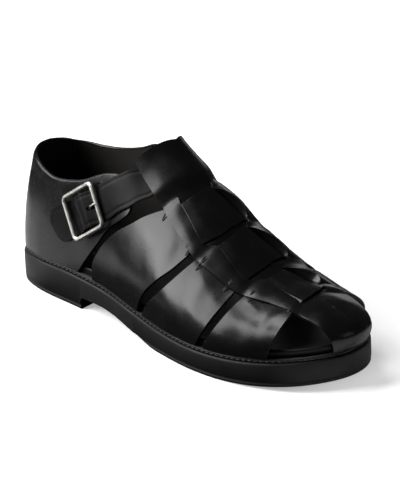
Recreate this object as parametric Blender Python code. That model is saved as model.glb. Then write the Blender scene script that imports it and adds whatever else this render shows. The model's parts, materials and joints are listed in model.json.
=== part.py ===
"""Fisherman sandal for the right foot: woven vamp, heel counter, buckled ankle strap, rubber unit sole.

Every leather piece lies on one last surface.  A place on the last is (u, v):
u counts the section rows from the heel (0) to the toe (13), v runs across from
-1 at the lateral feather edge over 0 on the ridge to +1 at the medial feather edge.
Lift is the distance above the last along its normal.  Metres, toe along +X, up +Z.
"""
import bpy
import bmesh
import math
import numpy as np
from mathutils import Matrix

# Main sizes
LAST_LENGTH = 0.294
HALF_BALL = 0.048
THROAT_HEIGHT = 0.100
SEAT_HEIGHT = 0.026

# Leather and joints
LEATHER = 0.0020
STRAP_LEATHER = 0.0017
JOINT_GAP = 0.0003
LAYER_GAP = 0.0005

# Sole
RIM = 0.0030
SOLE_EDGE_DROP = 0.0030
SOLE_BEVEL = 0.0010
TREAD_INSET = 0.0016
SIDE_INSET = 0.0003
TOP_INSET = 0.0007
WELT_RIM = 0.0012
RIB_LEVEL = 0.0022
RIB_HEIGHT = 0.0012
RIB_DEPTH = 0.0006
HEEL_LENGTH = 0.0785
ARCH_LENGTH = 0.092
ARCH_RISE = 0.0090
BREAST_HOLLOW = 0.0030
ARCH_CUT_HALF_WIDTH = 0.067
SEAT_HALF_WIDTH = 0.036
ARCH_STATIONS = 15
BREAST_SHARE = 0.25
TOE_SPRING = 0.0075
OUTLINE_STATIONS = 47

# Insole
INSOLE_THICKNESS = 0.0052
INSOLE_INSET = 0.0007
INSOLE_ROUND = 0.0013
# Middle of the rounded edge: shares of INSOLE_ROUND inwards and upwards.
INSOLE_ROUND_MIDDLE = (0.3, 0.7)

# Collar
BEAD_LIFT = 0.0008
BEAD_INNER = 0.5
# Bead: share of the counter's height where it starts, its fade in height, and in u near the wings.
BEAD_START = 0.90
BEAD_FADE = 0.05
BEAD_END_U = 4.6
BEAD_END_FADE = 0.4
COUNTER_COLUMNS = 35
COUNTER_ROWS = (0.0, 0.13, 0.27, 0.41, 0.54, 0.67, 0.80, 0.90, 0.96, 1.0)

# Buckle
BUCKLE_LENGTH = 0.0345
BUCKLE_WIDTH = 0.0328
BUCKLE_CORNER = 0.0032
WIRE_RADIUS = 0.0015
BAR_RADIUS = 0.0008
SLEEVE_WALL = 0.0006
SLEEVE_WIDTH = 0.0030
STRAP_LIFT_AT_FRAME = 1.40
PRONG_RADIUS = 0.0008
SLEEVE_SIDES = 20
PRONG_TIP_PAST_BAR = 0.0012
# Where the prong starts, as a share of the sleeve's wall.
PRONG_ROOT = 0.2
HOLE_LENGTH = 0.0062
HOLE_START = 0.0044
HOLE_CUT_DEPTH = 0.012
HOLE_END_ROUND = 0.98
BUCKLE_U = 4.455
BUCKLE_V = -0.728
BUCKLE_TURN = 0.060
# Prong: shares of the way to the fore bar, and of the height over that bar.
PRONG_BEND = ((0.34, 0.06), (0.49, 0.30), (0.78, 0.93), (0.89, 1.00))

# Sections of the last.  x and ridge_x: shares of LAST_LENGTH; lateral, medial, ridge_y and bulge:
# shares of HALF_BALL; ridge_z: share of THROAT_HEIGHT; full: how square the section is.
SECTION_COLUMNS = ("x", "lateral", "medial", "ridge_x", "ridge_y", "ridge_z", "bulge", "full")
SECTIONS = np.array([
    [0.005, 0.000, 0.000, 0.156, 0.000, 1.470, 0.004, 0.43],
    [0.017, 0.329, 0.333, 0.160, 0.000, 1.470, 0.004, 0.43],
    [0.053, 0.548, 0.562, 0.173, 0.010, 1.470, 0.004, 0.43],
    [0.129, 0.658, 0.677, 0.207, 0.048, 1.470, 0.004, 0.44],
    [0.238, 0.681, 0.667, 0.265, 0.094, 1.470, 0.008, 0.45],
    [0.357, 0.710, 0.631, 0.344, 0.140, 1.440, 0.019, 0.46],
    [0.469, 0.810, 0.652, 0.435, 0.169, 1.200, 0.033, 0.48],
    [0.578, 0.927, 0.775, 0.544, 0.171, 0.990, 0.050, 0.50],
    [0.680, 0.985, 0.933, 0.646, 0.171, 0.785, 0.067, 0.52],
    [0.776, 0.942, 1.006, 0.738, 0.171, 0.615, 0.081, 0.54],
    [0.864, 0.792, 0.965, 0.816, 0.167, 0.527, 0.092, 0.56],
    [0.935, 0.546, 0.783, 0.875, 0.163, 0.502, 0.115, 0.62],
    [0.983, 0.217, 0.475, 0.915, 0.156, 0.490, 0.140, 0.68],
    [1.000, -0.115, 0.115, 0.932, 0.150, 0.480, 0.150, 0.70],
])
LAST_ROW = len(SECTIONS) - 1

# Height of the feather edge: x as a share of LAST_LENGTH, height as a share of SEAT_HEIGHT.
FEATHER = np.array([
    [-0.017, 0.900],
    [0.119, 0.977],
    [0.238, 1.000],
    [0.357, 0.923],
    [0.476, 0.788],
    [0.595, 0.712],
    [0.697, 0.696],
    [0.799, 0.735],
    [0.901, 0.838],
    [1.020, 1.038],
])

# Underside of the forepart: x as a share of LAST_LENGTH, height as a share of TOE_SPRING.
UNDERSIDE = np.array([
    [-0.020, 0.000],
    [0.600, 0.000],
    [0.765, 0.000],
    [0.850, 0.135],
    [0.935, 0.470],
    [1.020, 1.000],
])

# Profile of the arch cut: share of ARCH_LENGTH behind the breast, share of ARCH_RISE.
ARCH_PROFILE = (
    (0.000, -0.60),
    (0.000, 0.78),
    (0.022, 1.00),
    (0.250, 1.00),
    (0.410, 0.86),
    (0.570, 0.58),
    (0.740, 0.30),
    (0.890, 0.10),
    (1.000, -0.04),
    (1.000, -0.60),
)

# Centre strip: row U, lateral edge v, lateral slit v, medial slit v, medial edge v.
STRIP_EDGES = np.array([
    [6.03, -0.360, -0.130, 0.110, 0.340],
    [6.97, -0.390, -0.250, 0.080, 0.330],
    [7.17, -0.410, -0.280, -0.020, 0.310],
    [7.94, -0.450, -0.340, 0.090, 0.310],
    [8.14, -0.440, -0.260, 0.030, 0.310],
    [8.97, -0.410, -0.290, 0.170, 0.340],
    [9.40, -0.380, -0.160, 0.030, 0.330],
    [9.93, -0.340, -0.170, 0.110, 0.340],
    [10.40, -0.340, -0.180, 0.160, 0.350],
    [10.75, -0.350, -0.175, 0.175, 0.350],
    [11.00, -0.360, -0.150, 0.150, 0.360],
])
ROW_STEP = 0.29
SLIT_HALF = 0.010
MARGIN_COLUMNS = 4
MIDDLE_COLUMNS = 5
# Half of the space between margin and middle where they merge, as a share of the strip's edge.
MERGED_SHARE = 1 / 12
MARGIN_WALL = 1.5
LOOP_LINING = 0.36
# Loop: share of the strip's width, rows of its folded rear edge and of its inner layer past the
# strip's first row, outer and inner lift of the fold in LEATHER.
LOOP_WIDTH = 0.985
FOLD_ROWS = (0.004, 0.060)
LINING_ROWS = (0.012, 0.17, 0.37, 0.57, 0.77, 1.01)
FOLD_LIFTS = (2.32, 0.05)
MERGE_LENGTH = 0.30
THINNEST_WALL = 0.9

# Toe cap: |v|, u of its edge at the toe opening; from CAP_ROW on the strip is the cap.
CAP_ROW = 11.00
CAP_EDGE = np.array([
    [0.00, 11.00],
    [0.36, 11.00],
    [0.40, 11.28],
    [0.45, 11.57],
    [0.51, 11.78],
    [0.60, 11.96],
    [0.70, 12.10],
    [0.80, 12.20],
    [0.90, 12.24],
    [1.00, 12.26],
])
CAP_COLUMNS = 18
CAP_COLUMN_STEP = 0.02

# Centre strip: row U, outer lift of the margins, of the middle, inner lift of the whole, in LEATHER.
STRIP_LIFTS = np.array([
    [6.03, 2.40, 2.50, 1.70],
    [6.80, 2.40, 2.50, 1.70],
    [6.92, 2.00, 2.00, 0.70],
    [7.02, 1.30, 1.30, 0.00],
    [7.10, 1.60, 1.15, 0.00],
    [7.20, 1.95, 1.00, 0.00],
    [7.55, 2.10, 1.00, 0.00],
    [7.90, 1.95, 1.00, 0.00],
    [8.04, 1.55, 1.40, 0.00],
    [8.18, 1.95, 1.00, 0.00],
    [8.55, 2.10, 1.00, 0.00],
    [8.93, 1.95, 1.00, 0.00],
    [9.18, 1.50, 1.40, 0.00],
    [9.44, 1.95, 1.00, 0.00],
    [10.10, 2.10, 1.00, 0.00],
    [10.70, 1.75, 1.00, 0.00],
    [10.88, 1.30, 1.10, 0.00],
    [11.00, 1.10, 1.10, 0.00],
    [13.00, 1.10, 1.10, 0.00],
])

# How far the strip's rows bend back to the heel per unit of |v|.
ROW_BEND = np.array([
    [6.00, 1.28],
    [6.90, 1.33],
    [7.50, 0.83],
    [8.10, 0.50],
    [9.00, 0.00],
    [13.0, 0.00],
])

# Side straps: |v|, u of the rear edge, u of the front edge.
STRAP_EDGES = {
    "rear": np.array([
        [0.00, 7.10, 7.88],
        [0.16, 7.01, 7.84],
        [0.30, 6.86, 7.72],
        [0.41, 6.55, 7.62],
        [0.46, 6.39, 7.56],
        [0.53, 6.14, 7.45],
        [0.62, 5.82, 7.27],
        [0.74, 5.33, 6.93],
        [0.86, 4.86, 6.54],
        [0.93, 4.66, 6.34],
        [1.00, 4.62, 6.18],
    ]),
    "middle": np.array([
        [0.00, 8.10, 8.97],
        [0.25, 8.03, 8.98],
        [0.36, 7.86, 8.97],
        [0.49, 7.70, 8.90],
        [0.61, 7.49, 8.82],
        [0.76, 7.14, 8.66],
        [0.89, 6.72, 8.47],
        [1.00, 6.36, 8.26],
    ]),
    "front": np.array([
        [0.00, 9.50, 11.16],
        [0.09, 9.45, 11.06],
        [0.19, 9.38, 10.88],
        [0.30, 9.26, 10.80],
        [0.42, 9.19, 10.74],
        [0.58, 9.06, 10.64],
        [0.74, 8.90, 10.52],
        [0.88, 8.70, 10.40],
        [1.00, 8.50, 10.28],
    ]),
}
# How far the front edge of each raised square stands ahead of its strap's edge: v, and u added there.
SQUARE_FRONTS = {
    "rear": np.array([
        [-0.460, 0.00],
        [-0.345, 0.05],
        [-0.225, 0.10],
        [-0.090, 0.09],
        [-0.020, 0.13],
        [0.090, 0.04],
        [0.200, 0.00],
    ]),
    "middle": np.array([
        [-0.420, 0.00],
        [-0.290, 0.04],
        [-0.165, 0.11],
        [-0.030, 0.17],
        [0.060, 0.10],
        [0.165, -0.05],
        [0.280, 0.00],
    ]),
    "front": np.array([
        [-0.300, 0.00],
        [-0.195, 0.06],
        [-0.080, 0.07],
        [-0.010, 0.09],
        [0.065, -0.04],
        [0.135, -0.20],
        [0.205, -0.33],
        [0.320, 0.00],
    ]),
}
# Slits of each strap: v of the lateral slit at the rear and front edge, v of the medial slit.
STRAP_SLITS = {
    "rear": (-0.280, -0.340, -0.020, 0.090),
    "middle": (-0.255, -0.290, 0.030, 0.170),
    "front": (-0.160, -0.190, 0.030, 0.200),
}
# A side strap's stations from its slit (0) to the feather (1), and inside from slit to slit.
OUTER_STATIONS = (1.0, 0.92, 0.83, 0.73, 0.62, 0.51, 0.40, 0.29, 0.18, 0.07)
INNER_STATIONS = (0.06, 0.25, 0.50, 0.75, 0.94)
RAISED_LIFT = 1.95
BULGE_LIFT = 0.30
RAISED_BASE = 0.5

# Heel counter: share of height, u of its front edge on both sides.
COUNTER_FRONT = np.array([
    [0.00, 4.17],
    [0.17, 4.42],
    [0.36, 4.76],
    [0.50, 5.05],
    [0.65, 5.46],
    [0.80, 5.70],
    [0.91, 5.64],
    [1.00, 5.42],
])
# Collar: u, height up the section on the lateral side, on the medial side.
COLLAR = np.array([
    [0.00, 0.415, 0.415],
    [0.90, 0.415, 0.400],
    [1.50, 0.402, 0.385],
    [2.10, 0.388, 0.378],
    [2.75, 0.362, 0.371],
    [3.30, 0.347, 0.380],
    [3.80, 0.357, 0.402],
    [4.20, 0.380, 0.432],
    [4.60, 0.422, 0.472],
    [4.95, 0.462, 0.492],
    [5.30, 0.505, 0.515],
    [5.80, 0.530, 0.530],
])

STRAP_STATIONS = 53
STRAP_COLUMNS = 5
# Ankle strap, from the tip to its sewn end: u and v of the upper edge, of the lower edge,
# inner lift in LEATHER.
STRAP_PATH = np.array([
    [3.365, -0.784, 3.40, -0.836, 1.25],
    [3.44, -0.773, 3.68, -0.880, 1.25],
    [3.53, -0.762, 3.88, -0.887, 1.25],
    [3.61, -0.752, 4.02, -0.872, 1.25],
    [3.71, -0.739, 4.15, -0.853, 1.25],
    [3.87, -0.721, 4.29, -0.833, 1.30],
    [3.98, -0.709, 4.39, -0.820, 1.36],
    [4.09, -0.697, 4.48, -0.806, 1.95],
    [4.19, -0.684, 4.57, -0.791, 2.85],
    [4.26, -0.674, 4.64, -0.780, 3.05],
    [4.33, -0.663, 4.72, -0.769, 2.92],
    [4.43, -0.650, 4.81, -0.755, 2.15],
    [4.53, -0.637, 4.92, -0.741, 1.38],
    [4.64, -0.618, 5.04, -0.720, 1.30],
    [4.79, -0.593, 5.20, -0.691, 1.25],
    [4.95, -0.563, 5.38, -0.645, 1.25],
    [5.12, -0.525, 5.55, -0.602, 1.25],
    [5.30, -0.480, 5.73, -0.553, 1.25],
    [5.46, -0.430, 5.93, -0.488, 1.15],
    [5.67, -0.365, 6.20, -0.402, 0.62],
    [5.77, -0.290, 6.27, -0.320, 0.54],
    [5.89, -0.200, 6.40, -0.210, 0.54],
    [6.02, -0.100, 6.53, -0.100, 0.54],
    [6.15, 0.000, 6.66, 0.000, 0.54],
    [6.02, 0.100, 6.53, 0.100, 0.54],
    [5.89, 0.200, 6.40, 0.210, 0.54],
    [5.77, 0.290, 6.27, 0.320, 0.54],
    [5.67, 0.365, 6.20, 0.402, 0.62],
    [5.46, 0.430, 5.93, 0.488, 1.15],
    [5.30, 0.480, 5.73, 0.553, 1.25],
    [5.12, 0.525, 5.55, 0.602, 1.25],
    [4.95, 0.562, 5.36, 0.655, 1.25],
    [4.80, 0.592, 5.20, 0.692, 1.25],
    [4.66, 0.615, 5.05, 0.722, 1.25],
])

FINISHES = {
    "black_leather": ((0.010, 0.010, 0.011), 0.34, 0.0),
    "lining_leather": ((0.016, 0.016, 0.017), 0.50, 0.0),
    "welt_black": ((0.008, 0.008, 0.008), 0.60, 0.0),
    "sole_rubber": ((0.030, 0.030, 0.031), 0.58, 0.0),
    "silver_metal": ((0.78, 0.77, 0.75), 0.22, 1.0),
}


# Curves and the last surface

def catmull(table, place):
    """Smooth curve through the table's rows, which has one more row past each end."""
    place = np.asarray(place, float)
    cell = np.clip(np.floor(place).astype(int), 0, len(table) - 4)
    f = (place - cell)[..., None]
    a, b, c, d = table[cell], table[cell + 1], table[cell + 2], table[cell + 3]
    rise = (c - a) * f
    bend = (2 * a - 5 * b + 4 * c - d) * f ** 2
    turn = (3 * b - a - 3 * c + d) * f ** 3
    return 0.5 * (2 * b + rise + bend + turn)


def follow(table, place, column=1):
    """Smooth value of a column at a place along the table's first column."""
    x = table[:, 0]
    y = table[:, column]
    place = np.clip(np.asarray(place, float), x[0], x[-1])
    slope = np.gradient(y, x)
    cell = np.clip(np.searchsorted(x, place, side="right") - 1, 0, len(x) - 2)
    step = x[cell + 1] - x[cell]
    f = (place - x[cell]) / step
    hold = 2 * f ** 3 - 3 * f ** 2
    start = (1 + hold) * y[cell] + (f ** 3 - 2 * f ** 2 + f) * step * slope[cell]
    end = -hold * y[cell + 1] + (f ** 3 - f ** 2) * step * slope[cell + 1]
    return start + end


def side_rows(side):
    """Section rows in metres for one side, with the mirrored row added past heel and toe."""
    col = {name: SECTIONS[:, i] for i, name in enumerate(SECTION_COLUMNS)}
    lateral = -col["lateral"] * HALF_BALL
    medial = col["medial"] * HALF_BALL
    own, other = (lateral, medial) if side < 0 else (medial, lateral)
    rows = np.column_stack([
        col["x"] * LAST_LENGTH,
        own,
        col["ridge_x"] * LAST_LENGTH,
        col["ridge_y"] * HALF_BALL,
        col["ridge_z"] * THROAT_HEIGHT,
        col["bulge"] * HALF_BALL,
        col["full"],
    ])
    head = rows[1].copy()
    head[1] = other[1]
    tail = rows[-2].copy()
    tail[1] = other[-2]
    return np.vstack([head, rows, tail])


def feather_height(x):
    return SEAT_HEIGHT * follow(FEATHER, np.asarray(x) / LAST_LENGTH)


def side_point(side, u, s):
    """Point on one side of the last: s runs up the section from the feather (0) to the ridge (1)."""
    rows = side_rows(side)
    u, s = np.broadcast_arrays(np.asarray(u, float), np.asarray(s, float))
    row = catmull(rows, u)
    held = np.clip(u, 0.05, LAST_ROW - 0.05)
    ahead = catmull(rows, held + 0.02)
    behind = catmull(rows, held - 0.02)
    slope = (ahead[..., 4] - behind[..., 4]) / np.maximum(ahead[..., 2] - behind[..., 2], 1e-6)
    foot = np.stack([row[..., 0], row[..., 1], feather_height(row[..., 0])], -1)
    ridge = row[..., 2:5]
    across = ridge - foot
    height = across[..., 2:3].copy()
    across[..., 2] = 0
    span = np.linalg.norm(across, axis=-1, keepdims=True)
    outward = -across / np.maximum(span, 1e-6)
    up = np.array([0.0, 0.0, 1.0])
    full = row[..., 6:7]
    side_handle = foot + up * height * full + outward * row[..., 5:6] * 2
    top_handle = ridge - across * full - up * slope[..., None] * across[..., 0:1] * full
    s = s[..., None]
    r = 1 - s
    return r ** 3 * foot + 3 * r ** 2 * s * side_handle + 3 * r * s ** 2 * top_handle + s ** 3 * ridge


def side_normal(side, u, s):
    e = 1e-3
    along = side_point(side, u + e, s) - side_point(side, u - e, s)
    lower = np.maximum(s - e, 0)
    upper = np.minimum(s + e, 1)
    rising = side_point(side, u, upper) - side_point(side, u, lower)
    normal = np.cross(along, rising) * (-side)
    return normal / np.maximum(np.linalg.norm(normal, axis=-1, keepdims=True), 1e-12)


def on_last(u, v, lift):
    """Point on the last at (u, v), moved out along the normal by lift."""
    u, v, lift = np.broadcast_arrays(*(np.asarray(a, float) for a in (u, v, lift)))
    s = 1 - np.abs(v)
    lateral = side_point(-1, u, s) + side_normal(-1, u, s) * lift[..., None]
    medial = side_point(1, u, s) + side_normal(1, u, s) * lift[..., None]
    point = np.where((v < 0)[..., None], lateral, medial)
    point = np.where((v == 0)[..., None], (lateral + medial) / 2, point)
    grounded = feather_height(point[..., 0])
    point[..., 2] = np.where(s <= 0, grounded, point[..., 2])
    return point


def last_outline(grow, count):
    """Closed outline of the feather edge moved out by grow, lateral side first, heel to toe and back."""
    stations = np.linspace(0, LAST_ROW, count)
    sides = []
    for side in (-1, 1):
        rows = side_rows(side)
        e = 1e-3
        along = (catmull(rows, stations + e) - catmull(rows, stations - e))[:, :2]
        along /= np.linalg.norm(along, axis=1, keepdims=True)
        outward = np.column_stack([along[:, 1], -along[:, 0]]) * (-side)
        sides.append(catmull(rows, stations)[:, :2] + outward * grow)
    return sides


# Mesh builders

def mesh_object(name, verts, faces, collection):
    mesh = bpy.data.meshes.new(name)
    mesh.from_pydata([tuple(p) for p in verts], [], faces)
    shape = bmesh.new()
    shape.from_mesh(mesh)
    bmesh.ops.recalc_face_normals(shape, faces=shape.faces)
    shape.to_mesh(mesh)
    shape.free()
    obj = bpy.data.objects.new(name, mesh)
    collection.objects.link(obj)
    return obj


class Sheet:
    """Faces on the last, each corner at (u, v) with its outer and inner lift; halves meet at the ends."""

    def __init__(self):
        self.index = {}
        self.places = []
        self.faces = []

    def corner(self, u, v, top, base):
        at_end = u < 1e-6 or u > LAST_ROW - 1e-6
        key = (round(u, 5), round(-abs(v) if at_end else v, 5))
        if key not in self.index:
            self.index[key] = len(self.places)
            self.places.append((u, v, top, base))
        return self.index[key]

    def grid(self, u, v, top, base):
        """Quads between rows and columns of corners; quads that a fold closes up become triangles."""
        u, v, top, base = np.broadcast_arrays(u, v, top, base)
        rows, cols = u.shape
        corners = [
            [self.corner(u[r, c], v[r, c], top[r, c], base[r, c]) for c in range(cols)]
            for r in range(rows)
        ]
        for r in range(rows - 1):
            for c in range(cols - 1):
                ring = (corners[r][c], corners[r][c + 1], corners[r + 1][c + 1], corners[r + 1][c])
                ring = tuple(dict.fromkeys(ring))
                if len(ring) > 2:
                    self.faces.append(ring)

    def solid(self, name, collection):
        """Closed wall between the outer and the inner lift."""
        u, v, top, base = np.array(self.places).T
        verts = np.concatenate([on_last(u, v, top), on_last(u, v, base)])
        shift = len(self.places)
        faces = []
        border = {}
        for ring in self.faces:
            faces.append(ring)
            faces.append(tuple(i + shift for i in reversed(ring)))
            for a, b in zip(ring, ring[1:] + ring[:1]):
                edge = (min(a, b), max(a, b))
                if edge in border:
                    del border[edge]
                else:
                    border[edge] = (b, a, a + shift, b + shift)
        faces += border.values()
        return mesh_object(name, verts, faces, collection)


def layer_stack(name, levels, count, collection):
    """Solid of stacked outlines of the last: each level is (grow, height function of x)."""
    loops = []
    for grow, height in levels:
        lateral, medial = last_outline(grow, count)
        ring = np.vstack([lateral, medial[-2:0:-1]])
        loops.append(np.column_stack([ring, height(ring[:, 0])]))
    size = len(loops[0])
    verts = np.concatenate(loops)
    faces = []
    for level in range(len(loops) - 1):
        for i in range(size):
            j = (i + 1) % size
            a = level * size
            faces.append((a + i, a + j, a + size + j, a + size + i))
    for base in (0, (len(loops) - 1) * size):
        faces.append((base, base + 1, base + size - 1))
        for i in range(1, count - 2):
            faces.append((base + i, base + i + 1, base + size - i - 1, base + size - i))
        faces.append((base + count - 2, base + count - 1, base + count))
    return mesh_object(name, verts, faces, collection)


def apply_modifiers(obj):
    graph = bpy.context.evaluated_depsgraph_get()
    mesh = bpy.data.meshes.new_from_object(obj.evaluated_get(graph))
    obj.modifiers.clear()
    obj.data = mesh


def combine(target, others, operation):
    """Boolean of the target with each of the others, which are used up."""
    for other in others:
        step = target.modifiers.new(operation.lower(), "BOOLEAN")
        step.operation = operation
        step.solver = "EXACT"
        step.object = other
        apply_modifiers(target)
        bpy.data.objects.remove(other)
    return target


# Sole and insole

def underside(x):
    return TOE_SPRING * np.maximum(follow(UNDERSIDE, np.asarray(x) / LAST_LENGTH), 0)


def sole_top(x):
    return feather_height(x) - SOLE_EDGE_DROP


def arch_cutter(collection):
    """Cutter of the arch and of the hollow heel breast, lofted across the sole."""
    stations = np.linspace(-ARCH_CUT_HALF_WIDTH, ARCH_CUT_HALF_WIDTH, ARCH_STATIONS)
    verts = []
    for y in stations:
        hollow = BREAST_HOLLOW * max(0.0, 1 - (y / SEAT_HALF_WIDTH) ** 2)
        for along, rise in ARCH_PROFILE:
            back = hollow * max(0.0, 1 - along / BREAST_SHARE)
            verts.append((HEEL_LENGTH - back + along * ARCH_LENGTH, y, rise * ARCH_RISE))
    size = len(ARCH_PROFILE)
    faces = [tuple(range(size)), tuple(reversed(range(len(verts) - size, len(verts))))]
    for k in range(len(stations) - 1):
        for i in range(size):
            j = (i + 1) % size
            a = k * size
            faces.append((a + i, a + j, a + size + j, a + size + i))
    return mesh_object("arch_cutter", verts, faces, collection)


def build_outsole(parts, cutters):
    def above(rise):
        return lambda x: underside(x) + rise

    def below(drop):
        return lambda x: sole_top(x) - drop

    levels = [
        (RIM - TREAD_INSET, above(0)),
        (RIM - SIDE_INSET, above(SOLE_BEVEL)),
        (RIM - SIDE_INSET, above(RIB_LEVEL)),
        (RIM - RIB_DEPTH, above(RIB_LEVEL + RIB_DEPTH)),
        (RIM - RIB_DEPTH, above(RIB_LEVEL + RIB_HEIGHT)),
        (RIM, above(RIB_LEVEL + RIB_HEIGHT + RIB_DEPTH)),
        (RIM, below(SOLE_BEVEL)),
        (RIM - TOP_INSET, below(0)),
    ]
    sole = layer_stack("outsole", levels, OUTLINE_STATIONS, parts)
    return combine(sole, [arch_cutter(cutters)], "DIFFERENCE")


def build_welt(parts):
    levels = [
        (WELT_RIM, lambda x: sole_top(x) + JOINT_GAP),
        (WELT_RIM, lambda x: feather_height(x) - JOINT_GAP),
    ]
    return layer_stack("welt", levels, OUTLINE_STATIONS, parts)


def build_insole(parts):
    side_height = INSOLE_THICKNESS - INSOLE_ROUND
    inward, upward = (INSOLE_ROUND * share for share in INSOLE_ROUND_MIDDLE)
    levels = [
        (-INSOLE_INSET, feather_height),
        (-INSOLE_INSET, lambda x: feather_height(x) + side_height),
        (-INSOLE_INSET - inward, lambda x: feather_height(x) + side_height + upward),
        (-INSOLE_INSET - INSOLE_ROUND, lambda x: feather_height(x) + INSOLE_THICKNESS),
    ]
    return layer_stack("insole", levels, OUTLINE_STATIONS, parts)


# Woven vamp

def strip_rows():
    marks = np.unique(np.concatenate([STRIP_EDGES[:, 0], STRIP_LIFTS[:, 0]]))
    marks = marks[marks <= CAP_ROW]
    rows = [marks[0]]
    for mark in marks[1:]:
        steps = max(1, math.ceil((mark - rows[-1]) / ROW_STEP))
        start = rows[-1]
        for k in range(1, steps + 1):
            rows.append(start + (mark - start) * k / steps)
    return np.array(rows)


def strip_columns(row):
    """v of each column of the centre strip: four to a margin, five to its middle."""
    edge_l, slit_l, slit_m, edge_m = (
        np.interp(row, STRIP_EDGES[:, 0], STRIP_EDGES[:, k]) for k in (1, 2, 3, 4)
    )
    merging = np.clip((CAP_ROW - row) / MERGE_LENGTH, 0, 1)
    half = SLIT_HALF * merging + edge_m * MERGED_SHARE * (1 - merging)
    lateral = np.linspace(edge_l, slit_l - half, MARGIN_COLUMNS)
    centre = np.linspace(slit_l + half, slit_m - half, MIDDLE_COLUMNS)
    medial = np.linspace(slit_m + half, edge_m, MARGIN_COLUMNS)
    return np.concatenate([lateral, centre, medial])


def strip_place(row, v):
    """u of a point of the centre strip on its bent row."""
    return row - np.interp(row, ROW_BEND[:, 0], ROW_BEND[:, 1]) * np.abs(v)


def strip_level(row, column):
    return LEATHER * np.interp(row, STRIP_LIFTS[:, 0], STRIP_LIFTS[:, column])


def build_centre_strip(parts):
    """Centre strip, and the toe cap that it widens to, as one wall."""
    sheet = Sheet()
    is_middle = np.array([0] * MARGIN_COLUMNS + [1] * MIDDLE_COLUMNS + [0] * MARGIN_COLUMNS)
    rows = strip_rows()
    v = np.array([strip_columns(row) for row in rows])
    u = np.array([strip_place(row, line) for row, line in zip(rows, v)])
    margin, middle, under = (strip_level(rows, k)[:, None] for k in (1, 2, 3))
    top = np.where(is_middle, middle, margin)
    base = np.where(is_middle, under, np.maximum(under, top - LEATHER * MARGIN_WALL))
    base = np.minimum(base, top - LEATHER * THINNEST_WALL)
    sheet.grid(u, v, top, base)
    wide = CAP_EDGE[CAP_EDGE[:, 0] > v[-1, -1] + CAP_COLUMN_STEP, 0]
    cap_v = np.unique(np.round(np.concatenate([np.abs(v[-1]), wide]), 5))[::-1]
    start = np.interp(cap_v, CAP_EDGE[:, 0], CAP_EDGE[:, 1])
    turn = np.abs(np.linspace(-1, 1, CAP_COLUMNS))
    sign = np.where(np.arange(CAP_COLUMNS) < CAP_COLUMNS // 2, -1, 1)
    cap_u = LAST_ROW - (LAST_ROW - start[:, None]) * turn
    level = np.interp(cap_u, STRIP_LIFTS[:, 0], STRIP_LIFTS[:, 1]) * LEATHER
    sheet.grid(cap_u, cap_v[:, None] * sign, level, 0.0)
    return sheet.solid("upper", parts)


def build_side_strap(name, parts):
    """One strap of the weave, feather to feather, raised between the two slits."""
    edges = STRAP_EDGES[name]
    rear_l, front_l, rear_m, front_m = STRAP_SLITS[name]
    stations = []
    for f in OUTER_STATIONS:
        stations.append((rear_l + (-1 - rear_l) * f, front_l + (-1 - front_l) * f, 0.0))
    for g in INNER_STATIONS:
        stations.append((rear_l + (rear_m - rear_l) * g, front_l + (front_m - front_l) * g, 1.0))
    for f in reversed(OUTER_STATIONS):
        stations.append((rear_m + (1 - rear_m) * f, front_m + (1 - front_m) * f, 0.0))
    rear_v, front_v, raised = (np.array(column)[:, None] for column in zip(*stations))
    shares = np.linspace(0, 1, STRAP_COLUMNS)
    rear_u = follow(edges, np.abs(rear_v), 1)
    ahead = SQUARE_FRONTS[name]
    front_u = follow(edges, np.abs(front_v), 2) + np.interp(front_v, ahead[:, 0], ahead[:, 1])
    crown = BULGE_LIFT * raised * (1 - (2 * shares - 1) ** 2)
    sheet = Sheet()
    sheet.grid(
        rear_u + (front_u - rear_u) * shares,
        rear_v + (front_v - rear_v) * shares,
        LEATHER * (1 + (RAISED_LIFT - 1) * raised + crown),
        LEATHER * RAISED_BASE * raised,
    )
    return sheet.solid("side_strap_" + name, parts)


def build_loop(parts):
    """Inner layer and folded edge of the top band, which make the loop for the ankle strap."""
    layers = []
    for offsets, top, base in ((FOLD_ROWS, *FOLD_LIFTS), (LINING_ROWS, LOOP_LINING, 0.0)):
        rows = STRIP_EDGES[0, 0] + np.array(offsets)
        v = np.array([strip_columns(row) for row in rows]) * LOOP_WIDTH
        u = np.array([strip_place(row, line) for row, line in zip(rows, v)])
        sheet = Sheet()
        sheet.grid(u, v, LEATHER * top, LEATHER * base)
        layers.append(sheet.solid("loop_layer", parts))
    return layers


def build_upper(parts):
    strip = build_centre_strip(parts)
    others = [build_side_strap(name, parts) for name in STRAP_EDGES]
    others += build_loop(parts)
    return combine(strip, others, "UNION")


# Heel counter

def build_quarter(parts):
    share = np.array(COUNTER_ROWS)[:, None]
    w = np.linspace(-1, 1, COUNTER_COLUMNS) * follow(COUNTER_FRONT, share)
    u = np.abs(w)
    collar = np.where(w < 0, follow(COLLAR, u, 1), follow(COLLAR, u, 2))
    v = np.where(w < 0, -1, 1) * (1 - share * collar)
    free = np.clip((BEAD_END_U - u) / BEAD_END_FADE, 0, 1)
    bead = BEAD_LIFT * free * np.clip((share - BEAD_START) / BEAD_FADE, 0, 1)
    sheet = Sheet()
    sheet.grid(u, v, LEATHER + bead, -bead * BEAD_INNER)
    return sheet.solid("quarter", parts)


# Ankle strap and buckle

def strap_stations():
    """Evenly many stations along the smooth strap path."""
    padded = np.vstack([STRAP_PATH[0] * 2 - STRAP_PATH[1], STRAP_PATH, STRAP_PATH[-1] * 2 - STRAP_PATH[-2]])
    return catmull(padded, np.linspace(0, len(STRAP_PATH) - 1, STRAP_STATIONS))


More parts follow.
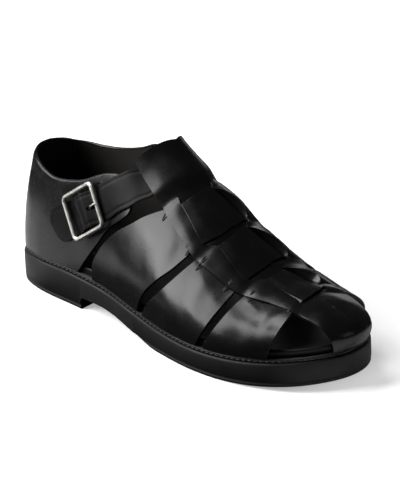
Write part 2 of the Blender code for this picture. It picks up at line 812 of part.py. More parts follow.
def build_strap(parts, cutters):
    up_u, up_v, low_u, low_v, lift = (column[:, None] for column in strap_stations().T)
    shares = np.linspace(0, 1, STRAP_COLUMNS)
    sheet = Sheet()
    sheet.grid(
        up_u + (low_u - up_u) * shares,
        up_v + (low_v - up_v) * shares,
        LEATHER * lift + STRAP_LEATHER,
        LEATHER * lift,
    )
    strap = sheet.solid("ankle_strap", parts)
    origin, along, across, normal = buckle_frame_axes()
    half = PRONG_RADIUS + LAYER_GAP
    outline = rounded_rectangle(HOLE_LENGTH, 2 * half, half * HOLE_END_ROUND)
    hole = prism("prong_hole", outline, HOLE_CUT_DEPTH, cutters)
    centre = origin + along * (HOLE_LENGTH * 0.5 + HOLE_START)
    place(hole, centre, along, across, normal)
    return combine(strap, [hole], "DIFFERENCE")


def prism(name, outline, depth, collection):
    """Flat outline raised to a solid, half of depth to each side."""
    size = len(outline)
    verts = [(x, y, -depth / 2) for x, y, _ in outline] + [(x, y, depth / 2) for x, y, _ in outline]
    faces = [tuple(range(size)), tuple(range(size, 2 * size))]
    faces += [(i, (i + 1) % size, (i + 1) % size + size, i + size) for i in range(size)]
    return mesh_object(name, verts, faces, collection)


def buckle_frame_axes():
    """Centre of the buckle at the level of its centre bar, and its three directions."""
    s = 1 - abs(BUCKLE_V)
    base = side_point(-1, BUCKLE_U, s)
    normal = side_normal(-1, BUCKLE_U, s)
    ahead = side_point(-1, BUCKLE_U + 0.4, s + BUCKLE_TURN) - side_point(-1, BUCKLE_U - 0.4, s - BUCKLE_TURN)
    along = ahead - normal * (ahead @ normal)
    along /= np.linalg.norm(along)
    across = np.cross(normal, along)
    lift = LEATHER + JOINT_GAP + SLEEVE_WALL + JOINT_GAP + BAR_RADIUS
    return base + normal * lift, along, across, normal


def place(obj, centre, along, across, normal):
    """Give the object the axes along, across and normal, at the centre."""
    rows = [(along[i], across[i], normal[i], centre[i]) for i in range(3)]
    obj.matrix_world = Matrix(rows + [(0, 0, 0, 1)])


def rounded_rectangle(length, width, radius, steps=5):
    points = []
    for cx, cy, start in (
        (length / 2 - radius, width / 2 - radius, 0.0),
        (radius - length / 2, width / 2 - radius, 0.5),
        (radius - length / 2, radius - width / 2, 1.0),
        (length / 2 - radius, radius - width / 2, 1.5),
    ):
        for k in range(steps + 1):
            angle = math.pi * (start + 0.5 * k / steps)
            points.append((cx + radius * math.cos(angle), cy + radius * math.sin(angle), 0.0))
    return points


def wire(name, points, radius, closed, collection, sides=4):
    """Round wire along the points, made into a mesh."""
    curve = bpy.data.curves.new(name, "CURVE")
    curve.dimensions = "3D"
    curve.bevel_depth = radius
    curve.bevel_resolution = sides
    curve.use_fill_caps = not closed
    spline = curve.splines.new("POLY")
    spline.points.add(len(points) - 1)
    for target, point in zip(spline.points, points):
        target.co = (*point, 1.0)
    spline.use_cyclic_u = closed
    path = bpy.data.objects.new(name + "_path", curve)
    collection.objects.link(path)
    graph = bpy.context.evaluated_depsgraph_get()
    mesh = bpy.data.meshes.new_from_object(path.evaluated_get(graph))
    bpy.data.objects.remove(path)
    shape = bmesh.new()
    shape.from_mesh(mesh)
    bmesh.ops.remove_doubles(shape, verts=shape.verts, dist=1e-6)
    bmesh.ops.recalc_face_normals(shape, faces=shape.faces)
    shape.to_mesh(mesh)
    shape.free()
    obj = bpy.data.objects.new(name, mesh)
    collection.objects.link(obj)
    return obj


def frame_rise():
    """How far the wire frame stands above the centre bar, so that the strap fits under its ends."""
    strap_top = LEATHER * STRAP_LIFT_AT_FRAME + STRAP_LEATHER
    bar_level = LEATHER + 2 * JOINT_GAP + SLEEVE_WALL + BAR_RADIUS
    return strap_top + JOINT_GAP + WIRE_RADIUS - bar_level


def build_buckle(parts):
    origin, along, across, normal = buckle_frame_axes()
    rise = frame_rise()
    half_wire = WIRE_RADIUS
    loop = rounded_rectangle(BUCKLE_LENGTH - 2 * half_wire, BUCKLE_WIDTH - 2 * half_wire, BUCKLE_CORNER)
    loop = [(x, y, rise) for x, y, _ in loop]
    frame = wire("buckle_frame", loop, WIRE_RADIUS, True, parts)
    side = BUCKLE_WIDTH / 2 - half_wire
    ends = [(0, -side, rise), (0, -side, 0), (0, side, 0), (0, side, rise)]
    bar = wire("centre_bar", ends, BAR_RADIUS, False, parts)
    combine(frame, [bar], "UNION")
    place(frame, origin, along, across, normal)
    return frame


def build_prong(parts):
    """Tongue with a sleeve round the centre bar, its tip resting over the fore bar."""
    origin, along, across, normal = buckle_frame_axes()
    bore = BAR_RADIUS + JOINT_GAP
    outside = bore + SLEEVE_WALL
    angles = [2 * math.pi * i / SLEEVE_SIDES for i in range(SLEEVE_SIDES)]
    verts = []
    for y in (-SLEEVE_WIDTH / 2, SLEEVE_WIDTH / 2):
        for radius in (outside, bore):
            verts += [(radius * math.cos(a), y, radius * math.sin(a)) for a in angles]
    faces = []
    n = SLEEVE_SIDES
    for i in range(n):
        j = (i + 1) % n
        faces.append((i, j, 2 * n + j, 2 * n + i))
        faces.append((n + i, 3 * n + i, 3 * n + j, n + j))
        faces.append((i, n + i, n + j, j))
        faces.append((2 * n + i, 2 * n + j, 3 * n + j, 3 * n + i))
    sleeve = mesh_object("buckle_prong", verts, faces, parts)
    fore = BUCKLE_LENGTH / 2 - WIRE_RADIUS
    top = frame_rise() + WIRE_RADIUS + JOINT_GAP + PRONG_RADIUS
    path = [(bore + SLEEVE_WALL * PRONG_ROOT, 0, 0)]
    path += [(fore * reach, 0, top * height) for reach, height in PRONG_BEND]
    path.append((fore + PRONG_TIP_PAST_BAR, 0, top))
    rod = wire("prong_rod", path, PRONG_RADIUS, False, parts, sides=3)
    combine(sleeve, [rod], "UNION")
    place(sleeve, origin, along, across, normal)
    return sleeve


# Assembly

def finish(obj, material):
    color, roughness, metallic = FINISHES[material]
    look = bpy.data.materials.get(material) or bpy.data.materials.new(material)
    look.use_nodes = True
    shader = look.node_tree.nodes["Principled BSDF"]
    shader.inputs["Base Color"].default_value = (*color, 1.0)
    shader.inputs["Roughness"].default_value = roughness
    shader.inputs["Metallic"].default_value = metallic
    obj.data.materials.clear()
    obj.data.materials.append(look)
    for face in obj.data.polygons:
        face.use_smooth = True
    obj.data.set_sharp_from_angle(angle=math.radians(35))


def clear_scene():
    for obj in list(bpy.data.objects):
        bpy.data.objects.remove(obj)


def bounds(objects):
    graph = bpy.context.evaluated_depsgraph_get()
    graph.update()
    corners = []
    for obj in objects:
        matrix = obj.matrix_world
        corners += [matrix @ vertex.co for vertex in obj.data.vertices]
    points = np.array([tuple(c) for c in corners])
    return points.min(axis=0), points.max(axis=0)


def main():
    clear_scene()
    parts = bpy.data.collections.new("fisherman_sandal")
    cutters = bpy.data.collections.new("cutters")
    bpy.context.scene.collection.children.link(parts)
    bpy.context.scene.collection.children.link(cutters)
    built = [
        (build_outsole(parts, cutters), "sole_rubber"),
        (build_welt(parts), "welt_black"),
        (build_insole(parts), "lining_leather"),
        (build_upper(parts), "black_leather"),
        (build_quarter(parts), "black_leather"),
        (build_strap(parts, cutters), "black_leather"),
        (build_buckle(parts), "silver_metal"),
        (build_prong(parts), "silver_metal"),
    ]
    for obj, material in built:
        finish(obj, material)
    low, high = bounds([obj for obj, _ in built])
    shoe = bpy.data.objects.new("shoe", None)
    parts.objects.link(shoe)
    for obj, _ in built:
        obj.parent = shoe
    shoe.location = (-(low[0] + high[0]) / 2, -(low[1] + high[1]) / 2, -low[2])


main()
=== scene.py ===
"""Looks of a fisherman sandal: polished black leather, rubber unit sole and a plated wire buckle.

Every leather piece is laid on the last that the solids were made on.  A place on the last is
(u, v): u counts the section rows from the heel (0) to the toe (13), v runs across from -1 at the
lateral feather edge over 0 on the ridge to +1 at the medial feather edge, and lift is the distance
above the last along its normal.  Lengths are metres unless a name says mm.
"""
from __future__ import annotations

import json
import logging
import math
from dataclasses import dataclass
from enum import Enum
from typing import Callable, Iterable, Sequence

import bmesh
import bpy
import numpy as np
from bpy.types import Material, Node, NodeSocket, NodeTree, Object
from mathutils import Matrix, Vector

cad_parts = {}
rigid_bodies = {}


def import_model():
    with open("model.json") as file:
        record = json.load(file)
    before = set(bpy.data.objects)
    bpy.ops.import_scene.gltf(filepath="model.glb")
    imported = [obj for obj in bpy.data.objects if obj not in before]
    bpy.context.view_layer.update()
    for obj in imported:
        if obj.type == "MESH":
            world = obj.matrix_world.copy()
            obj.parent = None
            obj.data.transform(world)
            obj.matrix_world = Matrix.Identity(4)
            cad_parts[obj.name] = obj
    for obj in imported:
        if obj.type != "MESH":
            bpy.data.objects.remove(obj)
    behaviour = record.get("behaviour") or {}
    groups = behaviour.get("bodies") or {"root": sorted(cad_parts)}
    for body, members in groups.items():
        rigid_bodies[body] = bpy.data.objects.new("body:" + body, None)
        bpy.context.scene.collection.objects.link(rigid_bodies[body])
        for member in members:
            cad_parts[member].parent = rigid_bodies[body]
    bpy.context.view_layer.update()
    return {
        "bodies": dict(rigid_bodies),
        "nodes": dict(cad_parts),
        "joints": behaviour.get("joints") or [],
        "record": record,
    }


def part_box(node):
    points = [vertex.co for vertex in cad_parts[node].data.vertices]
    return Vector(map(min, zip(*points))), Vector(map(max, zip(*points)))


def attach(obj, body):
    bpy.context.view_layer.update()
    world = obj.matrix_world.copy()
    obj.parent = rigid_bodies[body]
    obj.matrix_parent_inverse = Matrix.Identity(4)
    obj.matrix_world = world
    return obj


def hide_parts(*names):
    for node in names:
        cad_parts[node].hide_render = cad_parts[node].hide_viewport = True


LOG = logging.getLogger("fisherman_sandal")
MM = 0.001

# One number or many; a height at each x; rings of point numbers
Values = np.ndarray | float
Level = Callable[[np.ndarray], np.ndarray]
Faces = list[tuple[int, ...]]

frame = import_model()


class Side(Enum):
    """Side of the last, with the sign of v there; the buckle is on the lateral one."""

    LATERAL = -1
    MEDIAL = 1


class Strap(Enum):
    """Side strap of the weave, named by its place along the foot."""

    REAR = "rear"
    MIDDLE = "middle"
    FRONT = "front"


# Main sizes
LAST_LENGTH = 0.294
HALF_BALL = 0.048
THROAT_HEIGHT = 0.100
SEAT_HEIGHT = 0.026

# Leather and joints
LEATHER = 0.0020
STRAP_LEATHER = 0.0017
JOINT_GAP = 0.0003
LAYER_GAP = 0.0005

# Sole
RIM = 0.0030
SOLE_EDGE_DROP = 0.0030
SOLE_BEVEL = 0.0010
TREAD_INSET = 0.0016
SIDE_INSET = 0.0003
TOP_INSET = 0.0007
WELT_RIM = 0.0012
RIB_LEVEL = 0.0022
RIB_HEIGHT = 0.0012
RIB_DEPTH = 0.0006
HEEL_LENGTH = 0.0785
ARCH_LENGTH = 0.092
ARCH_RISE = 0.0090
BREAST_HOLLOW = 0.0030
ARCH_CUT_HALF_WIDTH = 0.067
SEAT_HALF_WIDTH = 0.036
BREAST_SHARE = 0.25
TOE_SPRING = 0.0075
OUTLINE_STATIONS = 47

# Insole
INSOLE_THICKNESS = 0.0052
INSOLE_INSET = 0.0007
INSOLE_ROUND = 0.0013

# Collar: u where its bead starts to fade into the wings
BEAD_END_U = 4.6

# Buckle
BUCKLE_LENGTH = 0.0345
BUCKLE_WIDTH = 0.0328
BUCKLE_CORNER = 0.0032
WIRE_RADIUS = 0.0015
BAR_RADIUS = 0.0008
SLEEVE_WALL = 0.0006
SLEEVE_WIDTH = 0.0030
STRAP_LIFT_AT_FRAME = 1.40
PRONG_RADIUS = 0.0008
PRONG_TIP_PAST_BAR = 0.0012
HOLE_LENGTH = 0.0062
HOLE_START = 0.0044
HOLE_CUT_DEPTH = 0.012
HOLE_END_ROUND = 0.98
BUCKLE_U = 4.455
BUCKLE_V = -0.728
BUCKLE_TURN = 0.060
# Prong: shares of the way to the fore bar, and of the height over that bar.
PRONG_BEND = ((0.34, 0.06), (0.49, 0.30), (0.78, 0.93), (0.89, 1.00))

# Sections of the last.  x and ridge_x: shares of LAST_LENGTH; lateral, medial, ridge_y and bulge:
# shares of HALF_BALL; ridge_z: share of THROAT_HEIGHT; full: how square the section is.
SECTION_COLUMNS = ("x", "lateral", "medial", "ridge_x", "ridge_y", "ridge_z", "bulge", "full")
SECTIONS = np.array([
    [0.005, 0.000, 0.000, 0.156, 0.000, 1.470, 0.004, 0.43],
    [0.017, 0.329, 0.333, 0.160, 0.000, 1.470, 0.004, 0.43],
    [0.053, 0.548, 0.562, 0.173, 0.010, 1.470, 0.004, 0.43],
    [0.129, 0.658, 0.677, 0.207, 0.048, 1.470, 0.004, 0.44],
    [0.238, 0.681, 0.667, 0.265, 0.094, 1.470, 0.008, 0.45],
    [0.357, 0.710, 0.631, 0.344, 0.140, 1.440, 0.019, 0.46],
    [0.469, 0.810, 0.652, 0.435, 0.169, 1.200, 0.033, 0.48],
    [0.578, 0.927, 0.775, 0.544, 0.171, 0.990, 0.050, 0.50],
    [0.680, 0.985, 0.933, 0.646, 0.171, 0.785, 0.067, 0.52],
    [0.776, 0.942, 1.006, 0.738, 0.171, 0.615, 0.081, 0.54],
    [0.864, 0.792, 0.965, 0.816, 0.167, 0.527, 0.092, 0.56],
    [0.935, 0.546, 0.783, 0.875, 0.163, 0.502, 0.115, 0.62],
    [0.983, 0.217, 0.475, 0.915, 0.156, 0.490, 0.140, 0.68],
    [1.000, -0.115, 0.115, 0.932, 0.150, 0.480, 0.150, 0.70],
])
LAST_ROW = len(SECTIONS) - 1
# Mean length of one section row, and of a section from feather to ridge
ROW_LENGTH = 0.0235
SECTION_LENGTH = 0.065
# Rows at heel and toe where the ridge's slope is held, and the step that measures it.
SLOPE_HELD = 0.05
SLOPE_STEP = 0.02

# Height of the feather edge: x as a share of LAST_LENGTH, height as a share of SEAT_HEIGHT.
FEATHER = np.array([
    [-0.017, 0.900], [0.119, 0.977], [0.238, 1.000], [0.357, 0.923], [0.476, 0.788],
    [0.595, 0.712], [0.697, 0.696], [0.799, 0.735], [0.901, 0.838], [1.020, 1.038],
])

# Underside of the forepart: x as a share of LAST_LENGTH, height as a share of TOE_SPRING.
UNDERSIDE = np.array([
    [-0.020, 0.000], [0.600, 0.000], [0.765, 0.000], [0.850, 0.135], [0.935, 0.470], [1.020, 1.000],
])

# Profile of the arch cut: share of ARCH_LENGTH behind the breast, share of ARCH_RISE.
ARCH_PROFILE = (
    (0.000, -0.60), (0.000, 0.78), (0.022, 1.00), (0.250, 1.00), (0.410, 0.86),
    (0.570, 0.58), (0.740, 0.30), (0.890, 0.10), (1.000, -0.04), (1.000, -0.60),
)

# Centre strip: row U, lateral edge v, lateral slit v, medial slit v, medial edge v.
STRIP_EDGES = np.array([
    [6.03, -0.360, -0.130, 0.110, 0.340],
    [6.97, -0.390, -0.250, 0.080, 0.330],
    [7.17, -0.410, -0.280, -0.020, 0.310],
    [7.94, -0.450, -0.340, 0.090, 0.310],
    [8.14, -0.440, -0.260, 0.030, 0.310],
    [8.97, -0.410, -0.290, 0.170, 0.340],
    [9.40, -0.380, -0.160, 0.030, 0.330],
    [9.93, -0.340, -0.170, 0.110, 0.340],
    [10.40, -0.340, -0.180, 0.160, 0.350],
    [10.75, -0.350, -0.175, 0.175, 0.350],
    [11.00, -0.360, -0.150, 0.150, 0.360],
])
SLIT_HALF = 0.010
MARGIN_WALL = 1.5
LOOP_LINING = 0.36
# Loop: share of the strip's width, row of its folded rear edge and last row of its inner layer,
# both past the strip's first row.
LOOP_WIDTH = 0.985
FOLD_ROW = 0.060
LINING_LAST_ROW = 1.01
MERGE_LENGTH = 0.30

# Toe cap: |v|, u of its edge at the toe opening; from CAP_ROW on the strip is the cap.
CAP_ROW = 11.00
CAP_EDGE = np.array([
    [0.00, 11.00], [0.36, 11.00], [0.40, 11.28], [0.45, 11.57], [0.51, 11.78],
    [0.60, 11.96], [0.70, 12.10], [0.80, 12.20], [0.90, 12.24], [1.00, 12.26],
])

# Centre strip: row U, outer lift of the margins, of the middle, inner lift of the whole, in LEATHER.
STRIP_LIFTS = np.array([
    [6.03, 2.40, 2.50, 1.70],
    [6.80, 2.40, 2.50, 1.70],
    [6.92, 2.00, 2.00, 0.70],
    [7.02, 1.30, 1.30, 0.00],
    [7.10, 1.60, 1.15, 0.00],
    [7.20, 1.95, 1.00, 0.00],
    [7.55, 2.10, 1.00, 0.00],
    [7.90, 1.95, 1.00, 0.00],
    [8.04, 1.55, 1.40, 0.00],
    [8.18, 1.95, 1.00, 0.00],
    [8.55, 2.10, 1.00, 0.00],
    [8.93, 1.95, 1.00, 0.00],
    [9.18, 1.50, 1.40, 0.00],
    [9.44, 1.95, 1.00, 0.00],
    [10.10, 2.10, 1.00, 0.00],
    [10.70, 1.75, 1.00, 0.00],
    [10.88, 1.30, 1.10, 0.00],
    [11.00, 1.10, 1.10, 0.00],
    [13.00, 1.10, 1.10, 0.00],
])

# How far the strip's rows bend back to the heel per unit of |v|.
ROW_BEND = np.array([
    [6.00, 1.28], [6.90, 1.33], [7.50, 0.83], [8.10, 0.50], [9.00, 0.00], [13.0, 0.00],
])

# Side straps: |v|, u of the rear edge, u of the front edge.
STRAP_EDGES = {
    Strap.REAR: np.array([
        [0.00, 7.10, 7.88], [0.16, 7.01, 7.84], [0.30, 6.86, 7.72],
        [0.41, 6.55, 7.62], [0.46, 6.39, 7.56], [0.53, 6.14, 7.45],
        [0.62, 5.82, 7.27], [0.74, 5.33, 6.93], [0.86, 4.86, 6.54],
        [0.93, 4.66, 6.34], [1.00, 4.62, 6.18],
    ]),
    Strap.MIDDLE: np.array([
        [0.00, 8.10, 8.97], [0.25, 8.03, 8.98], [0.36, 7.86, 8.97],
        [0.49, 7.70, 8.90], [0.61, 7.49, 8.82], [0.76, 7.14, 8.66],
        [0.89, 6.72, 8.47], [1.00, 6.36, 8.26],
    ]),
    Strap.FRONT: np.array([
        [0.00, 9.50, 11.16], [0.09, 9.45, 11.06], [0.19, 9.38, 10.88],
        [0.30, 9.26, 10.80], [0.42, 9.19, 10.74], [0.58, 9.06, 10.64],
        [0.74, 8.90, 10.52], [0.88, 8.70, 10.40], [1.00, 8.50, 10.28],
    ]),
}
# How far the front edge of each raised square stands ahead of its strap's edge: v, and u added there.
SQUARE_FRONTS = {
    Strap.REAR: np.array([
        [-0.460, 0.00], [-0.345, 0.05], [-0.225, 0.10], [-0.090, 0.09],
        [-0.020, 0.13], [0.090, 0.04], [0.200, 0.00],
    ]),
    Strap.MIDDLE: np.array([
        [-0.420, 0.00], [-0.290, 0.04], [-0.165, 0.11], [-0.030, 0.17],
        [0.060, 0.10], [0.165, -0.05], [0.280, 0.00],
    ]),
    Strap.FRONT: np.array([
        [-0.300, 0.00], [-0.195, 0.06], [-0.080, 0.07], [-0.010, 0.09],
        [0.065, -0.04], [0.135, -0.20], [0.205, -0.33], [0.320, 0.00],
    ]),
}
# Slits of each strap: v of the lateral slit at the rear and front edge, v of the medial slit.
STRAP_SLITS = {
    Strap.REAR: (-0.280, -0.340, -0.020, 0.090),
    Strap.MIDDLE: (-0.255, -0.290, 0.030, 0.170),
    Strap.FRONT: (-0.160, -0.190, 0.030, 0.200),
}
RAISED_LIFT = 1.95
BULGE_LIFT = 0.30
# Squares of the weave: first and last row of the opened medial slit
SQUARES = ((7.17, 7.96), (8.14, 8.98), (9.42, 10.42))
# Ends of the slits that are tied together: u, v.
SLIT_ENDS = ((7.93, 0.115), (8.96, 0.185), (10.44, 0.235))
# Bar tacks: u, v, direction (0 along the foot, half pi across), length, lift.
TACKS = (
    (6.66, -0.432, 1.35, 0.0030, 0.0022),
    (7.52, -0.452, 1.20, 0.0044, 0.0024),
    (7.47, -0.412, 1.20, 0.0040, 0.0036),
    (7.90, -0.470, 1.25, 0.0040, 0.0024),
    (7.94, -0.410, 1.30, 0.0036, 0.0036),
    (8.72, -0.437, 1.30, 0.0034, 0.0024),
    (8.75, -0.378, 1.30, 0.0036, 0.0036),
    (9.40, -0.402, 1.30, 0.0034, 0.0024),
    (9.36, -0.338, 1.30, 0.0034, 0.0036),
    (10.55, -0.292, 1.30, 0.0034, 0.0030),
    (10.66, -0.342, 1.30, 0.0030, 0.0024),
    (6.66, 0.400, -1.35, 0.0030, 0.0022),
    (7.52, 0.335, -1.20, 0.0040, 0.0024),
    (8.72, 0.355, -1.30, 0.0036, 0.0024),
    (9.40, 0.350, -1.30, 0.0036, 0.0024),
    (10.66, 0.340, -1.30, 0.0032, 0.0026),
)

# Heel counter: share of height, u of its front edge on both sides.
COUNTER_FRONT = np.array([
    [0.00, 4.17], [0.17, 4.42], [0.36, 4.76], [0.50, 5.05],
    [0.65, 5.46], [0.80, 5.70], [0.91, 5.64], [1.00, 5.42],
])
# Collar: u, height up the section on the lateral side, on the medial side.
COLLAR = np.array([
    [0.00, 0.415, 0.415],
    [0.90, 0.415, 0.400],
    [1.50, 0.402, 0.385],
    [2.10, 0.388, 0.378],
    [2.75, 0.362, 0.371],
    [3.30, 0.347, 0.380],
    [3.80, 0.357, 0.402],
    [4.20, 0.380, 0.432],
    [4.60, 0.422, 0.472],
    [4.95, 0.462, 0.492],
    [5.30, 0.505, 0.515],
    [5.80, 0.530, 0.530],
])

# Ankle strap, from the tip to its sewn end: u and v of the upper edge, of the lower edge,
# inner lift in LEATHER.
STRAP_PATH = np.array([
    [3.365, -0.784, 3.40, -0.836, 1.25],
    [3.44, -0.773, 3.68, -0.880, 1.25],
    [3.53, -0.762, 3.88, -0.887, 1.25],
    [3.61, -0.752, 4.02, -0.872, 1.25],
    [3.71, -0.739, 4.15, -0.853, 1.25],
    [3.87, -0.721, 4.29, -0.833, 1.30],
    [3.98, -0.709, 4.39, -0.820, 1.36],
    [4.09, -0.697, 4.48, -0.806, 1.95],
    [4.19, -0.684, 4.57, -0.791, 2.85],
    [4.26, -0.674, 4.64, -0.780, 3.05],
    [4.33, -0.663, 4.72, -0.769, 2.92],
    [4.43, -0.650, 4.81, -0.755, 2.15],
    [4.53, -0.637, 4.92, -0.741, 1.38],
    [4.64, -0.618, 5.04, -0.720, 1.30],
    [4.79, -0.593, 5.20, -0.691, 1.25],
    [4.95, -0.563, 5.38, -0.645, 1.25],
    [5.12, -0.525, 5.55, -0.602, 1.25],
    [5.30, -0.480, 5.73, -0.553, 1.25],
    [5.46, -0.430, 5.93, -0.488, 1.15],
    [5.67, -0.365, 6.20, -0.402, 0.62],
    [5.77, -0.290, 6.27, -0.320, 0.54],
    [5.89, -0.200, 6.40, -0.210, 0.54],
    [6.02, -0.100, 6.53, -0.100, 0.54],
    [6.15, 0.000, 6.66, 0.000, 0.54],
    [6.02, 0.100, 6.53, 0.100, 0.54],
    [5.89, 0.200, 6.40, 0.210, 0.54],
    [5.77, 0.290, 6.27, 0.320, 0.54],
    [5.67, 0.365, 6.20, 0.402, 0.62],
    [5.46, 0.430, 5.93, 0.488, 1.15],
    [5.30, 0.480, 5.73, 0.553, 1.25],
    [5.12, 0.525, 5.55, 0.602, 1.25],
    [4.95, 0.562, 5.36, 0.655, 1.25],
    [4.80, 0.592, 5.20, 0.692, 1.25],
    [4.66, 0.615, 5.05, 0.722, 1.25],
])


def linear(hex_colour: str) -> tuple[float, float, float, float]:
    """Linear RGBA of an sRGB hex colour.

    Args:
        hex_colour: Colour such as "#1a1a1b".

    Returns:
        Red, green and blue in linear light, and an alpha of 1.
    """
    channels = [int(hex_colour[i:i + 2], 16) / 255 for i in (1, 3, 5)]
    light = [c / 12.92 if c <= 0.04045 else ((c + 0.055) / 1.055) ** 2.4 for c in channels]
    return (*light, 1.0)


# Curves and the last surface


def catmull(table: np.ndarray, place: Values) -> np.ndarray:
    """Smooth curve through the table's rows.

    Args:
        table: Rows, with one more row past each end.
        place: Row numbers, counted from the first row inside the ends.

    Returns:
        The interpolated rows.
    """
    place = np.asarray(place, float)
    cell = np.clip(np.floor(place).astype(int), 0, len(table) - 4)
    f = (place - cell)[..., None]
    a, b, c, d = table[cell], table[cell + 1], table[cell + 2], table[cell + 3]
    rise = (c - a) * f
    bend = (2 * a - 5 * b + 4 * c - d) * f ** 2
    turn = (3 * b - a - 3 * c + d) * f ** 3
    return 0.5 * (2 * b + rise + bend + turn)


def follow(table: np.ndarray, place: Values, column: int = 1) -> np.ndarray:
    """Smooth value of a column at a place along the table's first column.

    Args:
        table: Rows sorted by their first column.
        place: Places along the first column, held to its range.
        column: Which column is read.

    Returns:
        The values, in the shape of place.
    """
    x = table[:, 0]
    y = table[:, column]
    place = np.clip(np.asarray(place, float), x[0], x[-1])
    slope = np.gradient(y, x)
    cell = np.clip(np.searchsorted(x, place, side="right") - 1, 0, len(x) - 2)
    step = x[cell + 1] - x[cell]
    f = (place - x[cell]) / step
    hold = 2 * f ** 3 - 3 * f ** 2
    start = (1 + hold) * y[cell] + (f ** 3 - 2 * f ** 2 + f) * step * slope[cell]
    end = -hold * y[cell + 1] + (f ** 3 - f ** 2) * step * slope[cell + 1]
    return start + end


def smooth_step(value: np.ndarray, low: float, high: float) -> np.ndarray:
    """Share from 0 below low to 1 above high, with a soft start and end."""
    f = np.clip((np.asarray(value, float) - low) / (high - low), 0, 1)
    return f * f * (3 - 2 * f)


